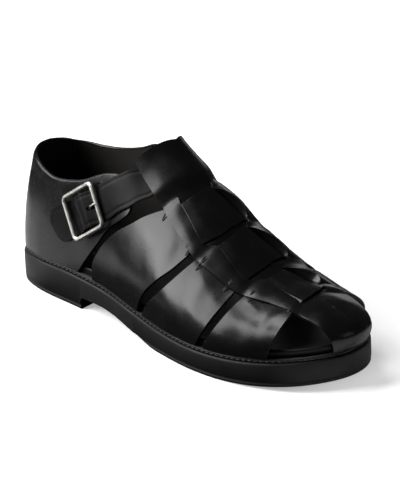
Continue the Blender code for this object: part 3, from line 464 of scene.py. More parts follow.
class Last:
    """The surface of the foot form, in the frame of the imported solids."""

    def __init__(self) -> None:
        """Works out the shift from the last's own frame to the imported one, from the outsole's box."""
        lateral, medial = self.outline(RIM, OUTLINE_STATIONS, shifted=False)
        low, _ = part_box("outsole")
        edge = np.vstack([lateral, medial])
        self.shift = np.array([low[0] - edge[:, 0].min(), low[1] - edge[:, 1].min(), low[2]])

    @staticmethod
    def side_rows(side: Side) -> np.ndarray:
        """Section rows in metres for one side, with the mirrored row added past heel and toe.

        Args:
            side: Which side.

        Returns:
            Rows with x, y, ridge x, y and z, bulge and fullness.
        """
        col = {name: SECTIONS[:, i] for i, name in enumerate(SECTION_COLUMNS)}
        lateral = -col["lateral"] * HALF_BALL
        medial = col["medial"] * HALF_BALL
        own, other = (lateral, medial) if side is Side.LATERAL else (medial, lateral)
        rows = np.column_stack([
            col["x"] * LAST_LENGTH,
            own,
            col["ridge_x"] * LAST_LENGTH,
            col["ridge_y"] * HALF_BALL,
            col["ridge_z"] * THROAT_HEIGHT,
            col["bulge"] * HALF_BALL,
            col["full"],
        ])
        head = rows[1].copy()
        head[1] = other[1]
        tail = rows[-2].copy()
        tail[1] = other[-2]
        return np.vstack([head, rows, tail])

    @staticmethod
    def feather_height(x: Values) -> np.ndarray:
        """Height of the feather edge at x, in the last's own frame."""
        return SEAT_HEIGHT * follow(FEATHER, np.asarray(x) / LAST_LENGTH)

    def side_point(self, side: Side, u: Values, s: Values) -> np.ndarray:
        """Point on one side, in the last's own frame.

        Args:
            side: Which side.
            u: Section rows.
            s: Heights up the section, from the feather (0) to the ridge (1).

        Returns:
            Points, with x, y and z in the last axis.
        """
        rows = self.side_rows(side)
        u, s = np.broadcast_arrays(np.asarray(u, float), np.asarray(s, float))
        row = catmull(rows, u)
        held = np.clip(u, SLOPE_HELD, LAST_ROW - SLOPE_HELD)
        ahead = catmull(rows, held + SLOPE_STEP)
        behind = catmull(rows, held - SLOPE_STEP)
        slope = (ahead[..., 4] - behind[..., 4]) / np.maximum(ahead[..., 2] - behind[..., 2], 1e-6)
        foot = np.stack([row[..., 0], row[..., 1], self.feather_height(row[..., 0])], -1)
        ridge = row[..., 2:5]
        across = ridge - foot
        height = across[..., 2:3].copy()
        across[..., 2] = 0
        span = np.linalg.norm(across, axis=-1, keepdims=True)
        outward = -across / np.maximum(span, 1e-6)
        up = np.array([0.0, 0.0, 1.0])
        full = row[..., 6:7]
        side_handle = foot + up * height * full + outward * row[..., 5:6] * 2
        top_handle = ridge - across * full - up * slope[..., None] * across[..., 0:1] * full
        s = s[..., None]
        r = 1 - s
        return r ** 3 * foot + 3 * r ** 2 * s * side_handle + 3 * r * s ** 2 * top_handle + s ** 3 * ridge

    def side_normal(self, side: Side, u: Values, s: Values) -> np.ndarray:
        """Outward normal on one side.

        Args:
            side: Which side.
            u: Section rows.
            s: Heights up the section.

        Returns:
            Unit vectors, in the last axis.
        """
        e = 1e-3
        s = np.asarray(s, float)
        along = self.side_point(side, u + e, s) - self.side_point(side, u - e, s)
        upper = self.side_point(side, u, np.minimum(s + e, 1))
        lower = self.side_point(side, u, np.maximum(s - e, 0))
        normal = np.cross(along, upper - lower) * (-side.value)
        return normal / np.maximum(np.linalg.norm(normal, axis=-1, keepdims=True), 1e-12)

    def place(self, u: Values, v: Values, lift: Values) -> np.ndarray:
        """Point at (u, v) moved out by lift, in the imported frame.

        Args:
            u: Section rows.
            v: Places across.
            lift: Distances above the last.

        Returns:
            Points, with x, y and z in the last axis.
        """
        u, v, lift = np.broadcast_arrays(*(np.asarray(a, float) for a in (u, v, lift)))
        s = 1 - np.abs(v)
        lateral, medial = (
            self.side_point(side, u, s) + self.side_normal(side, u, s) * lift[..., None] for side in Side
        )
        point = np.where((v < 0)[..., None], lateral, medial)
        point = np.where((v == 0)[..., None], (lateral + medial) / 2, point)
        grounded = self.feather_height(point[..., 0])
        point[..., 2] = np.where(s <= 0, grounded, point[..., 2])
        return point + self.shift

    def normal(self, u: float, v: float) -> np.ndarray:
        """Outward normal at one place."""
        return self.side_normal(Side.LATERAL if v < 0 else Side.MEDIAL, u, 1 - abs(v))

    def outline(self, grow: float, count: int, shifted: bool = True) -> list[np.ndarray]:
        """Feather edge moved out by grow.

        Args:
            grow: How far the outline stands outside the feather edge.
            count: Stations on each side.
            shifted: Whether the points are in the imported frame.

        Returns:
            The lateral and the medial line, each from heel to toe.
        """
        stations = np.linspace(0, LAST_ROW, count)
        e = 1e-3
        sides = []
        for side in Side:
            rows = self.side_rows(side)
            along = (catmull(rows, stations + e) - catmull(rows, stations - e))[:, :2]
            along /= np.linalg.norm(along, axis=1, keepdims=True)
            outward = np.column_stack([along[:, 1], -along[:, 0]]) * (-side.value)
            line = catmull(rows, stations)[:, :2] + outward * grow
            sides.append(line + self.shift[:2] if shifted else line)
        return sides


# Materials


@dataclass(frozen=True)
class Relief:
    """One layer of surface relief.

    Attributes:
        size_mm: Width of one grain, pore or wave.
        depth_mm: Its depth.
        cells: True for cells with creases between them, False for soft noise.
    """

    size_mm: float
    depth_mm: float
    cells: bool = False


@dataclass(frozen=True)
class Finish:
    """Surface finish of one material.

    Attributes:
        name: What it is and how its surface was made.
        light: Hex colour of its lighter parts.
        dark: Hex colour of its darker parts.
        rough: Roughness of its glossiest and of its dullest parts.
        cloud_mm: Size of the patches that gloss and colour change in.
        metallic: 1 for bare metal.
        ior: Index of refraction; 1.5 suits waxed leather, thread and rubber, and a metal keeps it.
        specular: Strength of its reflection, 0.5 for the full one.
        reliefs: Layers of relief, the widest first.
        stretch: Scale of the relief along X, Y and Z, for brushed or drawn surfaces.
    """

    name: str
    light: str
    dark: str
    rough: tuple[float, float]
    cloud_mm: float = 12.0
    metallic: float = 0.0
    ior: float = 1.5
    specular: float = 0.5
    reliefs: tuple[Relief, ...] = ()
    stretch: tuple[float, float, float] = (1.0, 1.0, 1.0)

    def material(self) -> Material:
        """The Blender material of this finish, made once.

        Returns:
            The material.
        """
        found = bpy.data.materials.get(self.name)
        if found is not None:
            return found
        look = bpy.data.materials.new(self.name)
        look.use_nodes = True
        tree = look.node_tree
        tree.nodes.clear()
        where = add_node(tree, "ShaderNodeTexCoord")
        scaled = add_node(
            tree, "ShaderNodeMapping",
            values={"Scale": self.stretch}, links={"Vector": (where, "Object")},
        )
        cloud = add_node(
            tree, "ShaderNodeTexNoise",
            values={"Scale": 1 / (self.cloud_mm * MM), "Detail": 4.0, "Roughness": 0.55},
            links={"Vector": (scaled, "Vector")},
        )
        gloss = add_node(
            tree, "ShaderNodeMapRange",
            values={"From Min": 0.35, "From Max": 0.65, "To Min": self.rough[0], "To Max": self.rough[1]},
            links={"Value": (cloud, "Fac")},
        )
        tone = add_node(
            tree, "ShaderNodeMix", settings={"data_type": "RGBA"},
            values={"A": linear(self.dark), "B": linear(self.light)},
            links={"Factor": (cloud, "Fac")},
        )
        shader = add_node(
            tree, "ShaderNodeBsdfPrincipled",
            values={"Metallic": self.metallic, "IOR": self.ior, "Specular IOR Level": self.specular},
            links={"Base Color": (tone, "Result"), "Roughness": (gloss, "Result")},
        )
        bump = None
        for relief in self.reliefs:
            scale = 1 / (relief.size_mm * MM)
            if relief.cells:
                pattern = add_node(
                    tree, "ShaderNodeTexVoronoi", settings={"feature": "DISTANCE_TO_EDGE"},
                    values={"Scale": scale, "Randomness": 1.0}, links={"Vector": (scaled, "Vector")},
                )
                height = (pattern, "Distance")
            else:
                pattern = add_node(
                    tree, "ShaderNodeTexNoise", values={"Scale": scale, "Detail": 2.0},
                    links={"Vector": (scaled, "Vector")},
                )
                height = (pattern, "Fac")
            links = {"Height": height}
            if bump is not None:
                links["Normal"] = (bump, "Normal")
            bump = add_node(
                tree, "ShaderNodeBump",
                values={"Strength": 1.0, "Distance": relief.depth_mm * MM}, links=links,
            )
        if bump is not None:
            tree.links.new(bump.outputs["Normal"], shader.inputs["Normal"])
        add_node(tree, "ShaderNodeOutputMaterial", links={"Surface": (shader, "BSDF")})
        return look


def add_node(
    tree: NodeTree,
    kind: str,
    settings: dict[str, object] | None = None,
    values: dict[str, object] | None = None,
    links: dict[str, tuple[Node, str]] | None = None,
) -> Node:
    """Adds a node with its settings, socket values and links.

    Args:
        tree: Node tree that takes the node.
        kind: Blender's identifier of the node.
        settings: Attributes of the node.
        values: Values of its input sockets.
        links: Input socket to (source node, its output socket).

    Returns:
        The new node.
    """
    node = tree.nodes.new(kind)
    for name, value in (settings or {}).items():
        setattr(node, name, value)

    def socket(name: str) -> NodeSocket:
        """Enabled input socket of that name."""
        return next(s for s in node.inputs if s.name == name and s.enabled)

    for name, value in (values or {}).items():
        socket(name).default_value = value
    for name, (source, output) in (links or {}).items():
        plug = next(s for s in source.outputs if s.name == output and s.enabled)
        tree.links.new(plug, socket(name))
    return node


# Full-grain calf, aniline dyed and waxed: near black under a soft, slightly cloudy polish
POLISHED_CALF = Finish(
    "polished_calf_leather", light="#0b0b0c", dark="#070707", rough=(0.22, 0.30), cloud_mm=14,
    specular=0.36,
    reliefs=(Relief(9.0, 0.06), Relief(0.9, 0.008, cells=True), Relief(0.35, 0.005)),
)
# The same calf cut for a strap, duller, with a darker colour and a weaker reflection: painted shade, so that
# it stays darker than the band
STRAP_CALF_PAINTED_SHADE = Finish(
    "strap_calf_painted_shade", light="#080809", dark="#050505", rough=(0.34, 0.44), cloud_mm=10,
    specular=0.11, reliefs=(Relief(7.0, 0.05), Relief(0.9, 0.010, cells=True)),
)
# Cut edge of the same leather, inked and burnished by hand and duller; its colour a shade lighter, a painted
# highlight along every cut edge
INKED_EDGE_PAINTED_HIGHLIGHT = Finish(
    "inked_edge_painted_highlight", light="#171718", dark="#0e0e0f", rough=(0.40, 0.54), cloud_mm=4, specular=0.30,
    reliefs=(Relief(0.8, 0.03),),
)
# Flesh side and lining, dyed through and only rolled smooth: dull, with a fine nap
LINING_CALF = Finish(
    "lining_leather", light="#0c0b0b", dark="#070707", rough=(0.48, 0.64), cloud_mm=8, specular=0.14,
    reliefs=(Relief(3.0, 0.05), Relief(0.5, 0.02)),
)
# Split leather heel grip, brushed to a short nap: scatters light and hides the seam
HEEL_GRIP = Finish(
    "brushed_split_leather", light="#2a2826", dark="#1b1a18", rough=(0.75, 0.9), cloud_mm=6, specular=0.2,
    reliefs=(Relief(1.2, 0.08), Relief(0.4, 0.05)),
)
# Insole sock of smooth leather over fibreboard
SOCK_LEATHER = Finish(
    "insole_sock_leather", light="#101011", dark="#09090a", rough=(0.36, 0.48), cloud_mm=16, specular=0.2,
    reliefs=(Relief(6.0, 0.06), Relief(0.8, 0.012, cells=True)),
)
# Vulcanised rubber, moulded with a fine blasted grain: matt dark grey
SOLE_RUBBER = Finish(
    "moulded_rubber", light="#161617", dark="#111112", rough=(0.50, 0.62), cloud_mm=20, specular=0.26,
    reliefs=(Relief(7.0, 0.08), Relief(0.5, 0.03)),
)
# Storm welt, black and unpolished, in the shade between sole and upper
WELT = Finish(
    "welt_board", light="#151515", dark="#0c0c0c", rough=(0.55, 0.7), cloud_mm=5,
    reliefs=(Relief(0.8, 0.05),),
)
# Waxed linen thread, four strands, pulled tight
THREAD = Finish(
    "waxed_linen_thread", light="#1d1d1e", dark="#101011", rough=(0.38, 0.5), cloud_mm=2,
    reliefs=(Relief(0.25, 0.05),),
)
# The same thread on the bar tacks, painted paler: a painted highlight on their small bumps
TACK_THREAD_PAINTED_HIGHLIGHT = Finish(
    "linen_thread_painted_highlight", light="#4a4a4a", dark="#2c2c2c", rough=(0.42, 0.55), cloud_mm=2,
    reliefs=(Relief(0.25, 0.05),),
)
# Steel wire, nickel plated and left satin: evenly pale, with soft reflections
NICKEL = Finish(
    "nickel_plated_steel", light="#e0ddd7", dark="#cbc8c2", rough=(0.34, 0.44), cloud_mm=5,
    metallic=1.0, reliefs=(Relief(0.6, 0.006),), stretch=(1.0, 1.0, 3.0),
)


@dataclass(frozen=True)
class PaperPatch:
    """Stretch of the paper that the polish mirrors with a painted pale reflection, and that glows with
    painted light, from the origin of the floor.

    Attributes:
        along: Its middle along the shoe.
        across: Its middle across the shoe.
        half_length: Half its length.
        half_width: Half its width.
    """

    along: float
    across: float
    half_length: float
    half_width: float


@dataclass(frozen=True)
class PaperSweep:
    """White paper under the shoe, cleaned to white in the picture as a retoucher does; in reflections it
    shows painted colours, and its patches glow with painted light.

    Attributes:
        name: Name of the material.
        seen: Hex colour of the paper in the picture.
        near: Hex colour of the paper at toe and heel in reflections only, a painted pale reflection.
        painted_dark_reflection: Hex colour of the rest in reflections only, a painted dark reflection that
            stands in for black card flags.
        toe: Patch in front of the toe, with the painted pale reflection and the painted glow.
        heel: Patch behind the heel, with the painted pale reflection and the painted glow.
        soft_edge: Width of the patches' soft edge.
        patch_glow: Glow of the patches, painted light that they give off at the toe and heel.
        lift: How far its shadows are lifted in the picture.
    """

    name: str = "white_paper_sweep"
    seen: str = "#fbfbfb"
    near: str = "#dedede"
    painted_dark_reflection: str = "#343434"
    toe: PaperPatch = PaperPatch(along=0.235, across=0.045, half_length=0.085, half_width=0.115)
    heel: PaperPatch = PaperPatch(along=-0.236, across=-0.056, half_length=0.085, half_width=0.080)
    soft_edge: float = 0.04
    patch_glow: float = 0.18
    lift: float = 0.38

    def material(self) -> Material:
        """The Blender material of the paper.

        Returns:
            The new material.
        """
        look = bpy.data.materials.new(self.name)
        look.use_nodes = True
        tree = look.node_tree
        tree.nodes.clear()
        path = add_node(tree, "ShaderNodeLightPath")
        where = add_node(tree, "ShaderNodeTexCoord")
        toe, heel = (self.mask(tree, where, patch) for patch in (self.toe, self.heel))
        inside = add_node(
            tree, "ShaderNodeMath", settings={"operation": "MAXIMUM"}, links={"Value": (toe, "Value")},
        )
        tree.links.new(heel.outputs["Value"], inside.inputs[1])
        # Colour that reflections see: a painted dark reflection, and a painted pale one on the patches
        mirrored = add_node(
            tree, "ShaderNodeMix", settings={"data_type": "RGBA"},
            values={"A": linear(self.painted_dark_reflection), "B": linear(self.near)},
            links={"Factor": (inside, "Value")},
        )
        tone = add_node(
            tree, "ShaderNodeMix", settings={"data_type": "RGBA"}, values={"B": linear(self.seen)},
            links={"Factor": (path, "Is Camera Ray"), "A": (mirrored, "Result")},
        )
        shader = add_node(
            tree, "ShaderNodeBsdfPrincipled",
            values={"Roughness": 0.9, "Specular IOR Level": 0.1, "Emission Color": linear("#ffffff")},
            links={"Base Color": (tone, "Result")},
        )
        # The patches glow: painted light at the toe and heel, though the paper is no lamp
        glow_on_patches = add_node(
            tree, "ShaderNodeMath", settings={"operation": "MULTIPLY"}, links={"Value": (inside, "Value")},
        )
        glow_on_patches.inputs[1].default_value = self.patch_glow
        lifted = add_node(
            tree, "ShaderNodeMath", settings={"operation": "MULTIPLY_ADD"},
            links={"Value": (path, "Is Camera Ray")},
        )
        lifted.inputs[1].default_value = self.lift
        tree.links.new(glow_on_patches.outputs["Value"], lifted.inputs[2])
        tree.links.new(lifted.outputs["Value"], shader.inputs["Emission Strength"])
        add_node(tree, "ShaderNodeOutputMaterial", links={"Surface": (shader, "BSDF")})
        return look

    def mask(self, tree: NodeTree, where: Node, patch: PaperPatch) -> Node:
        """Mask of one soft-edged patch.

        Args:
            tree: Node tree of the material.
            where: Texture coordinates.
            patch: The patch.

        Returns:
            The node with 1 on the patch and 0 off it.
        """
        centred = add_node(
            tree, "ShaderNodeMapping", values={"Location": (-patch.along, -patch.across, 0.0)},
            links={"Vector": (where, "Object")},
        )
        away = add_node(
            tree, "ShaderNodeVectorMath", settings={"operation": "ABSOLUTE"},
            links={"Vector": (centred, "Vector")},
        )
        parts = add_node(tree, "ShaderNodeSeparateXYZ", links={"Vector": (away, "Vector")})
        reach = [
            add_node(
                tree, "ShaderNodeMapRange", settings={"interpolation_type": "SMOOTHSTEP"},
                values={"From Min": edge, "From Max": edge + self.soft_edge, "To Min": 1.0, "To Max": 0.0},
                links={"Value": (parts, axis)},
            )
            for axis, edge in (("X", patch.half_length), ("Y", patch.half_width))
        ]
        both = add_node(
            tree, "ShaderNodeMath", settings={"operation": "MINIMUM"}, links={"Value": (reach[0], "Result")},
        )
        tree.links.new(reach[1].outputs["Result"], both.inputs[1])
        return both


STUDIO_FLOOR = PaperSweep()

# Mesh builders


def keep(name: str, verts: np.ndarray, faces: Sequence[Sequence[int]],
         finishes: Sequence[Finish | PaperSweep], indices: Sequence[int] | None = None,
         repair: bool = True) -> Object:
    """Mesh object with smooth faces and its materials.

    Args:
        name: Name of the piece.
        verts: Points in metres.
        faces: Rings of point numbers.
        finishes: Finishes of its material slots.
        indices: Slot of each face; all 0 if left out.
        repair: Whether the normals are turned outward.

    Returns:
        The new object, linked to the scene.
    """
    mesh = bpy.data.meshes.new(name)
    mesh.from_pydata([tuple(p) for p in verts], [], [tuple(f) for f in faces])
    for finish in finishes:
        mesh.materials.append(finish.material())
    if indices is not None:
        mesh.polygons.foreach_set("material_index", np.asarray(indices, np.int32))
    if repair:
        shape = bmesh.new()
        shape.from_mesh(mesh)
        bmesh.ops.recalc_face_normals(shape, faces=shape.faces)
        shape.to_mesh(mesh)
        shape.free()
    mesh.polygons.foreach_set("use_smooth", np.ones(len(mesh.polygons), bool))
    mesh.update()
    piece = bpy.data.objects.new(name, mesh)
    bpy.context.scene.collection.objects.link(piece)
    return piece


def round_edges(piece: Object, width: float, angle: float = 40) -> None:
    """Rounds the piece's sharp edges.

    Args:
        piece: Object that gets the modifier.
        width: Width of the rounding.
        angle: Edges that turn by more than this many degrees are rounded.
    """
    step = piece.modifiers.new("rounded_edges", "BEVEL")
    step.width = width
    step.segments = 3
    step.limit_method = "ANGLE"
    step.angle_limit = math.radians(angle)
    step.harden_normals = True
    step.miter_outer = "MITER_ARC"


def apply_modifiers(piece: Object) -> None:
    """Replaces the piece's mesh by what its modifiers make of it.

    Args:
        piece: Object whose modifiers are applied.
    """
    graph = bpy.context.evaluated_depsgraph_get()
    mesh = bpy.data.meshes.new_from_object(piece.evaluated_get(graph))
    piece.modifiers.clear()
    piece.data = mesh


class Wall:
    """Closed wall of leather: a grid of places on the last, each with an outer and an inner lift."""

    def __init__(self, last: Last) -> None:
        """Starts with no faces.

        Args:
            last: The last.
        """
        self.last = last
        self.index: dict[tuple[float, float], int] = {}
        self.places: list[tuple[float, float, float, float]] = []
        self.faces: Faces = []
        self.inner_slots: list[int] = []

    def corner(self, u: float, v: float, top: float, base: float) -> int:
        """Number of the corner at (u, v), added if it is new; the two halves meet at heel and toe.

        Args:
            u: Its section row.
            v: Its place across.
            top: Its outer lift.
            base: Its inner lift.

        Returns:
            The number.
        """
        at_end = u < 1e-6 or u > LAST_ROW - 1e-6
        key = (round(u, 5), round(-abs(v) if at_end else v, 5))
        if key not in self.index:
            self.index[key] = len(self.places)
            self.places.append((u, v, top, base))
        return self.index[key]

    def grid(self, u: np.ndarray, v: np.ndarray, top: np.ndarray, base: np.ndarray,
             inner_slot: Callable[[float, float], int] | None = None) -> None:
        """Adds quads between rows and columns of corners.

        Args:
            u: Section rows of the corners.
            v: Places across of the corners.
            top: Outer lifts.
            base: Inner lifts.
            inner_slot: Material slot of an inner face from the u and v of its first corner.
        """
        u, v, top, base = np.broadcast_arrays(u, v, top, base)
        rows, cols = u.shape
        numbers = [
            [self.corner(u[r, c], v[r, c], top[r, c], base[r, c]) for c in range(cols)]
            for r in range(rows)
        ]
        for r in range(rows - 1):
            for c in range(cols - 1):
                ring = (numbers[r][c], numbers[r][c + 1], numbers[r + 1][c + 1], numbers[r + 1][c])
                ring = tuple(dict.fromkeys(ring))
                if len(ring) > 2:
                    self.faces.append(ring)
                    self.inner_slots.append(inner_slot(u[r, c], v[r, c]) if inner_slot else 2)

    def build(self, name: str, finishes: Sequence[Finish], rounding: float) -> Object:
        """The wall as an object: slot 0 outside, 1 on its cut edges, 2 and up inside.

        Args:
            name: Name of the piece.
            finishes: Finishes of its slots.
            rounding: Rounding of its sharp edges; 0 for none.

        Returns:
            The new object.
        """
        u, v, top, base = np.array(self.places).T
        verts = np.concatenate([self.last.place(u, v, top), self.last.place(u, v, base)])
        shift = len(self.places)
        faces: Faces = []
        slots: list[int] = []
        border: dict[tuple[int, int], tuple[int, int, int, int]] = {}
        for ring, inner in zip(self.faces, self.inner_slots):
            faces += [ring, tuple(i + shift for i in reversed(ring))]
            slots += [0, inner]
            for a, b in zip(ring, ring[1:] + ring[:1]):
                edge = (min(a, b), max(a, b))
                if edge in border:
                    del border[edge]
                else:
                    border[edge] = (b, a, a + shift, b + shift)
        faces += border.values()
        slots += [1] * len(border)
        piece = keep(name, verts, faces, finishes, slots)
        if rounding:
            round_edges(piece, rounding)
        return piece


def ring_quads(rings: int, size: int, closed: bool = False) -> Faces:
    """Quads between neighbouring rings of points.

    Args:
        rings: Number of rings.
        size: Points in each ring.
        closed: Whether the last ring joins the first.

    Returns:
        The faces, ring by ring.
    """
    faces: Faces = []
    for k in range(rings if closed else rings - 1):
        a, b = k * size, ((k + 1) % rings) * size
        faces += [(a + i, a + (i + 1) % size, b + (i + 1) % size, b + i) for i in range(size)]
    return faces


def tube(points: np.ndarray, radii: Sequence[float] | float, sides: int,
         up: np.ndarray | None = None) -> tuple[np.ndarray, Faces]:
    """Round rod along points.

    Args:
        points: Line of the rod.
        radii: Radius at each point, or one for all.
        sides: Faces round it.
        up: Directions that its corners are counted from, one per point.

    Returns:
        Its points and its faces.
    """
    points = np.asarray(points, float)
    count = len(points)
    radii = np.broadcast_to(np.asarray(radii, float), (count,))
    ahead = np.vstack([points[1:], points[-1:] * 2 - points[-2:-1]])
    behind = np.vstack([points[:1] * 2 - points[1:2], points[:-1]])
    along = ahead - behind
    along /= np.linalg.norm(along, axis=1, keepdims=True)
    if up is None:
        up = np.tile(np.array([0.0, 0.0, 1.0]), (count, 1))
        flat = np.abs(along[:, 2]) > 0.95
        up[flat] = (1.0, 0.0, 0.0)
    side = np.cross(along, up)
    side /= np.linalg.norm(side, axis=1, keepdims=True)
    top = np.cross(side, along)
    angles = np.linspace(0, 2 * math.pi, sides, endpoint=False)
    sideways = side[:, None] * np.cos(angles)[None, :, None]
    upright = top[:, None] * np.sin(angles)[None, :, None]
    verts = (points[:, None] + (sideways + upright) * radii[:, None, None]).reshape(-1, 3)
    faces = ring_quads(count, sides)
    faces.append(tuple(reversed(range(sides))))
    faces.append(tuple(range((count - 1) * sides, count * sides)))
    return verts, faces


# Shape of a stitch: shares of its length, and height of its thread's middle in radii.
STITCH_SHAPE = np.array([
    [0.0, 0.06, 0.2, 0.5, 0.8, 0.94, 1.0],
    [-1.6, -0.6, 0.375, 0.5, 0.375, -0.6, -1.6],
])


class Bundle:
    """Many small shapes gathered into one mesh."""

    def __init__(self) -> None:
        """Starts empty."""
        self.verts: list[np.ndarray] = []
        self.faces: Faces = []
        self.size = 0

    def add(self, verts: np.ndarray, faces: Iterable[Sequence[int]]) -> None:
        """Adds one shape.

        Args:
            verts: Its points.
            faces: Rings of its point numbers.
        """
        self.faces += [tuple(i + self.size for i in ring) for ring in faces]
        self.verts.append(verts)
        self.size += len(verts)

    def stitch(self, start: np.ndarray, end: np.ndarray, normal: np.ndarray, radius: float) -> None:
        """Adds one stitch: a thread that leaves the leather, lies on it and goes back in.

        Args:
            start: Where it comes out.
            end: Where it goes in.
            normal: Direction out of the leather.
            radius: Radius of the thread.
        """
        shares, rises = STITCH_SHAPE
        line = start + (end - start) * shares[:, None] + normal * (rises * radius)[:, None]
        verts, faces = tube(line, radius, 6, up=np.tile(normal, (len(line), 1)))
        self.add(verts, faces)

    def build(self, name: str, finish: Finish) -> Object:
        """The gathered shapes as one object."""
        return keep(name, np.concatenate(self.verts), self.faces, [finish])


def layer_stack(last: Last, name: str, levels: Sequence[tuple[float, Level]],
                count: int, finishes: Sequence[Finish]) -> Object:
    """Solid of stacked outlines of the last.

    Args:
        last: The last.
        name: Name of the piece.
        levels: Each (grow, height at x in the last's frame), from the lowest.
        count: Stations on each side.
        finishes: Finishes of its slots.

    Returns:
        The new object.
    """
    loops = []
    for grow, height in levels:
        lateral, medial = last.outline(grow, count)
        ring = np.vstack([lateral, medial[-2:0:-1]])
        loops.append(np.column_stack([ring, height(ring[:, 0] - last.shift[0]) + last.shift[2]]))
    size = len(loops[0])
    verts = np.concatenate(loops)
    faces = ring_quads(len(loops), size)
    for base in (0, (len(loops) - 1) * size):
        faces.append((base, base + 1, base + size - 1))
        for i in range(1, count - 2):
            faces.append((base + i, base + i + 1, base + size - i - 1, base + size - i))
        faces.append((base + count - 2, base + count - 1, base + count))
    return keep(name, verts, faces, finishes)


@dataclass(frozen=True)
class Crease:
    """A soft ridge or trough between two places on the last.

    Attributes:
        start: u and v of one end.
        end: u and v of the other end.
        width: Half width of its slope.
        height: Its height; below 0 it is a trough.
    """

    start: tuple[float, float]
    end: tuple[float, float]
    width: float
    height: float

    def lift(self, u: np.ndarray, v: np.ndarray) -> np.ndarray:
        """Height of the crease at each place.

        Args:
            u: Section rows.
            v: Places across.

        Returns:
            Heights, in the shape of u.
        """
        scale = np.array([ROW_LENGTH, SECTION_LENGTH])
        a = np.array(self.start) * scale
        d = np.array(self.end) * scale - a
        px = u * scale[0] - a[0]
        py = v * scale[1] - a[1]
        t = np.clip((px * d[0] + py * d[1]) / max(float(d @ d), 1e-12), 0, 1)
        away = np.hypot(px - t * d[0], py - t * d[1])
        return self.height * np.exp(-(away / self.width) ** 2)


def ripple(u: np.ndarray, v: np.ndarray, height: float) -> np.ndarray:
    """Slow waves of hand-lasted leather, 15 to 30 mm long.

    Args:
        u: Section rows.
        v: Places across.
        height: Height of the longer waves.

    Returns:
        Heights, in the shape of u.
    """
    a = np.sin(u * 5.3 + v * 4.1 + 0.6) * np.sin(v * 9.7 - u * 1.9 + 1.1)
    b = np.sin(u * 8.9 - v * 7.3 + 2.0) * np.sin(v * 15.1 + u * 2.7)
    return height * (a + 0.5 * b)


def soft_table(rows: np.ndarray, column: int) -> np.ndarray:
    """Lift of the centre strip in LEATHER, with its corners rounded off.

    Args:
        rows: Rows of the strip.
        column: Column of STRIP_LIFTS.

    Returns:
        Lifts, in the shape of rows.
    """
    total = np.zeros(np.shape(rows))
    shifts = (-0.05, -0.025, 0.0, 0.025, 0.05)
    for shift in shifts:
        place = np.clip(np.asarray(rows, float) + shift, STRIP_LIFTS[0, 0], STRIP_LIFTS[-1, 0])
        total = total + np.interp(place, STRIP_LIFTS[:, 0], STRIP_LIFTS[:, column])
    return total / len(shifts)


def bent(rows: Values, v: np.ndarray) -> np.ndarray:
    """Section rows of the strip's rows, which bend back to the heel on both sides of the ridge."""
    return rows - np.interp(rows, ROW_BEND[:, 0], ROW_BEND[:, 1]) * np.abs(v)


def on_last(direction: float) -> np.ndarray:
    """Change of u and v for one metre in a direction: 0 along the foot, half pi across."""
    return np.array([math.cos(direction) / ROW_LENGTH, math.sin(direction) / SECTION_LENGTH])


def stitch_on(bundle: Bundle, last: Last, at: tuple[float, float], half: np.ndarray, lift: float,
              radius: float, shift: Values = 0.0, out: int = 1) -> None:
    """Adds one stitch that lies on the last.

    Args:
        bundle: Takes the stitch.
        last: The last.
        at: u and v of the tack that it belongs to.
        half: u and v from its middle to its end.
        lift: Lift of its ends.
        radius: Radius of the thread.
        shift: u and v from the tack's middle to its own.
        out: 1 for a stitch on the outside, -1 for one on the inside.
    """
    start, end = (last.place(*(np.array(at) + shift + sign * half), lift) for sign in (-1, 1))
    bundle.stitch(start, end, out * last.normal(*at), radius)


def cut(piece: Object, cutter: Object, name: str) -> None:
    """Cuts one object out of another and removes the cutter.

    Args:
        piece: Object that is cut.
        cutter: Object that is cut out of it.
        name: Name of the step.
    """
    step = piece.modifiers.new(name, "BOOLEAN")
    step.operation = "DIFFERENCE"
    step.solver = "EXACT"
    step.object = cutter
    apply_modifiers(piece)
    bpy.data.objects.remove(cutter)


# Outside, cut edges painted lighter as a highlight, and inside
LEATHER_SET = (POLISHED_CALF, INKED_EDGE_PAINTED_HIGHLIGHT, LINING_CALF)


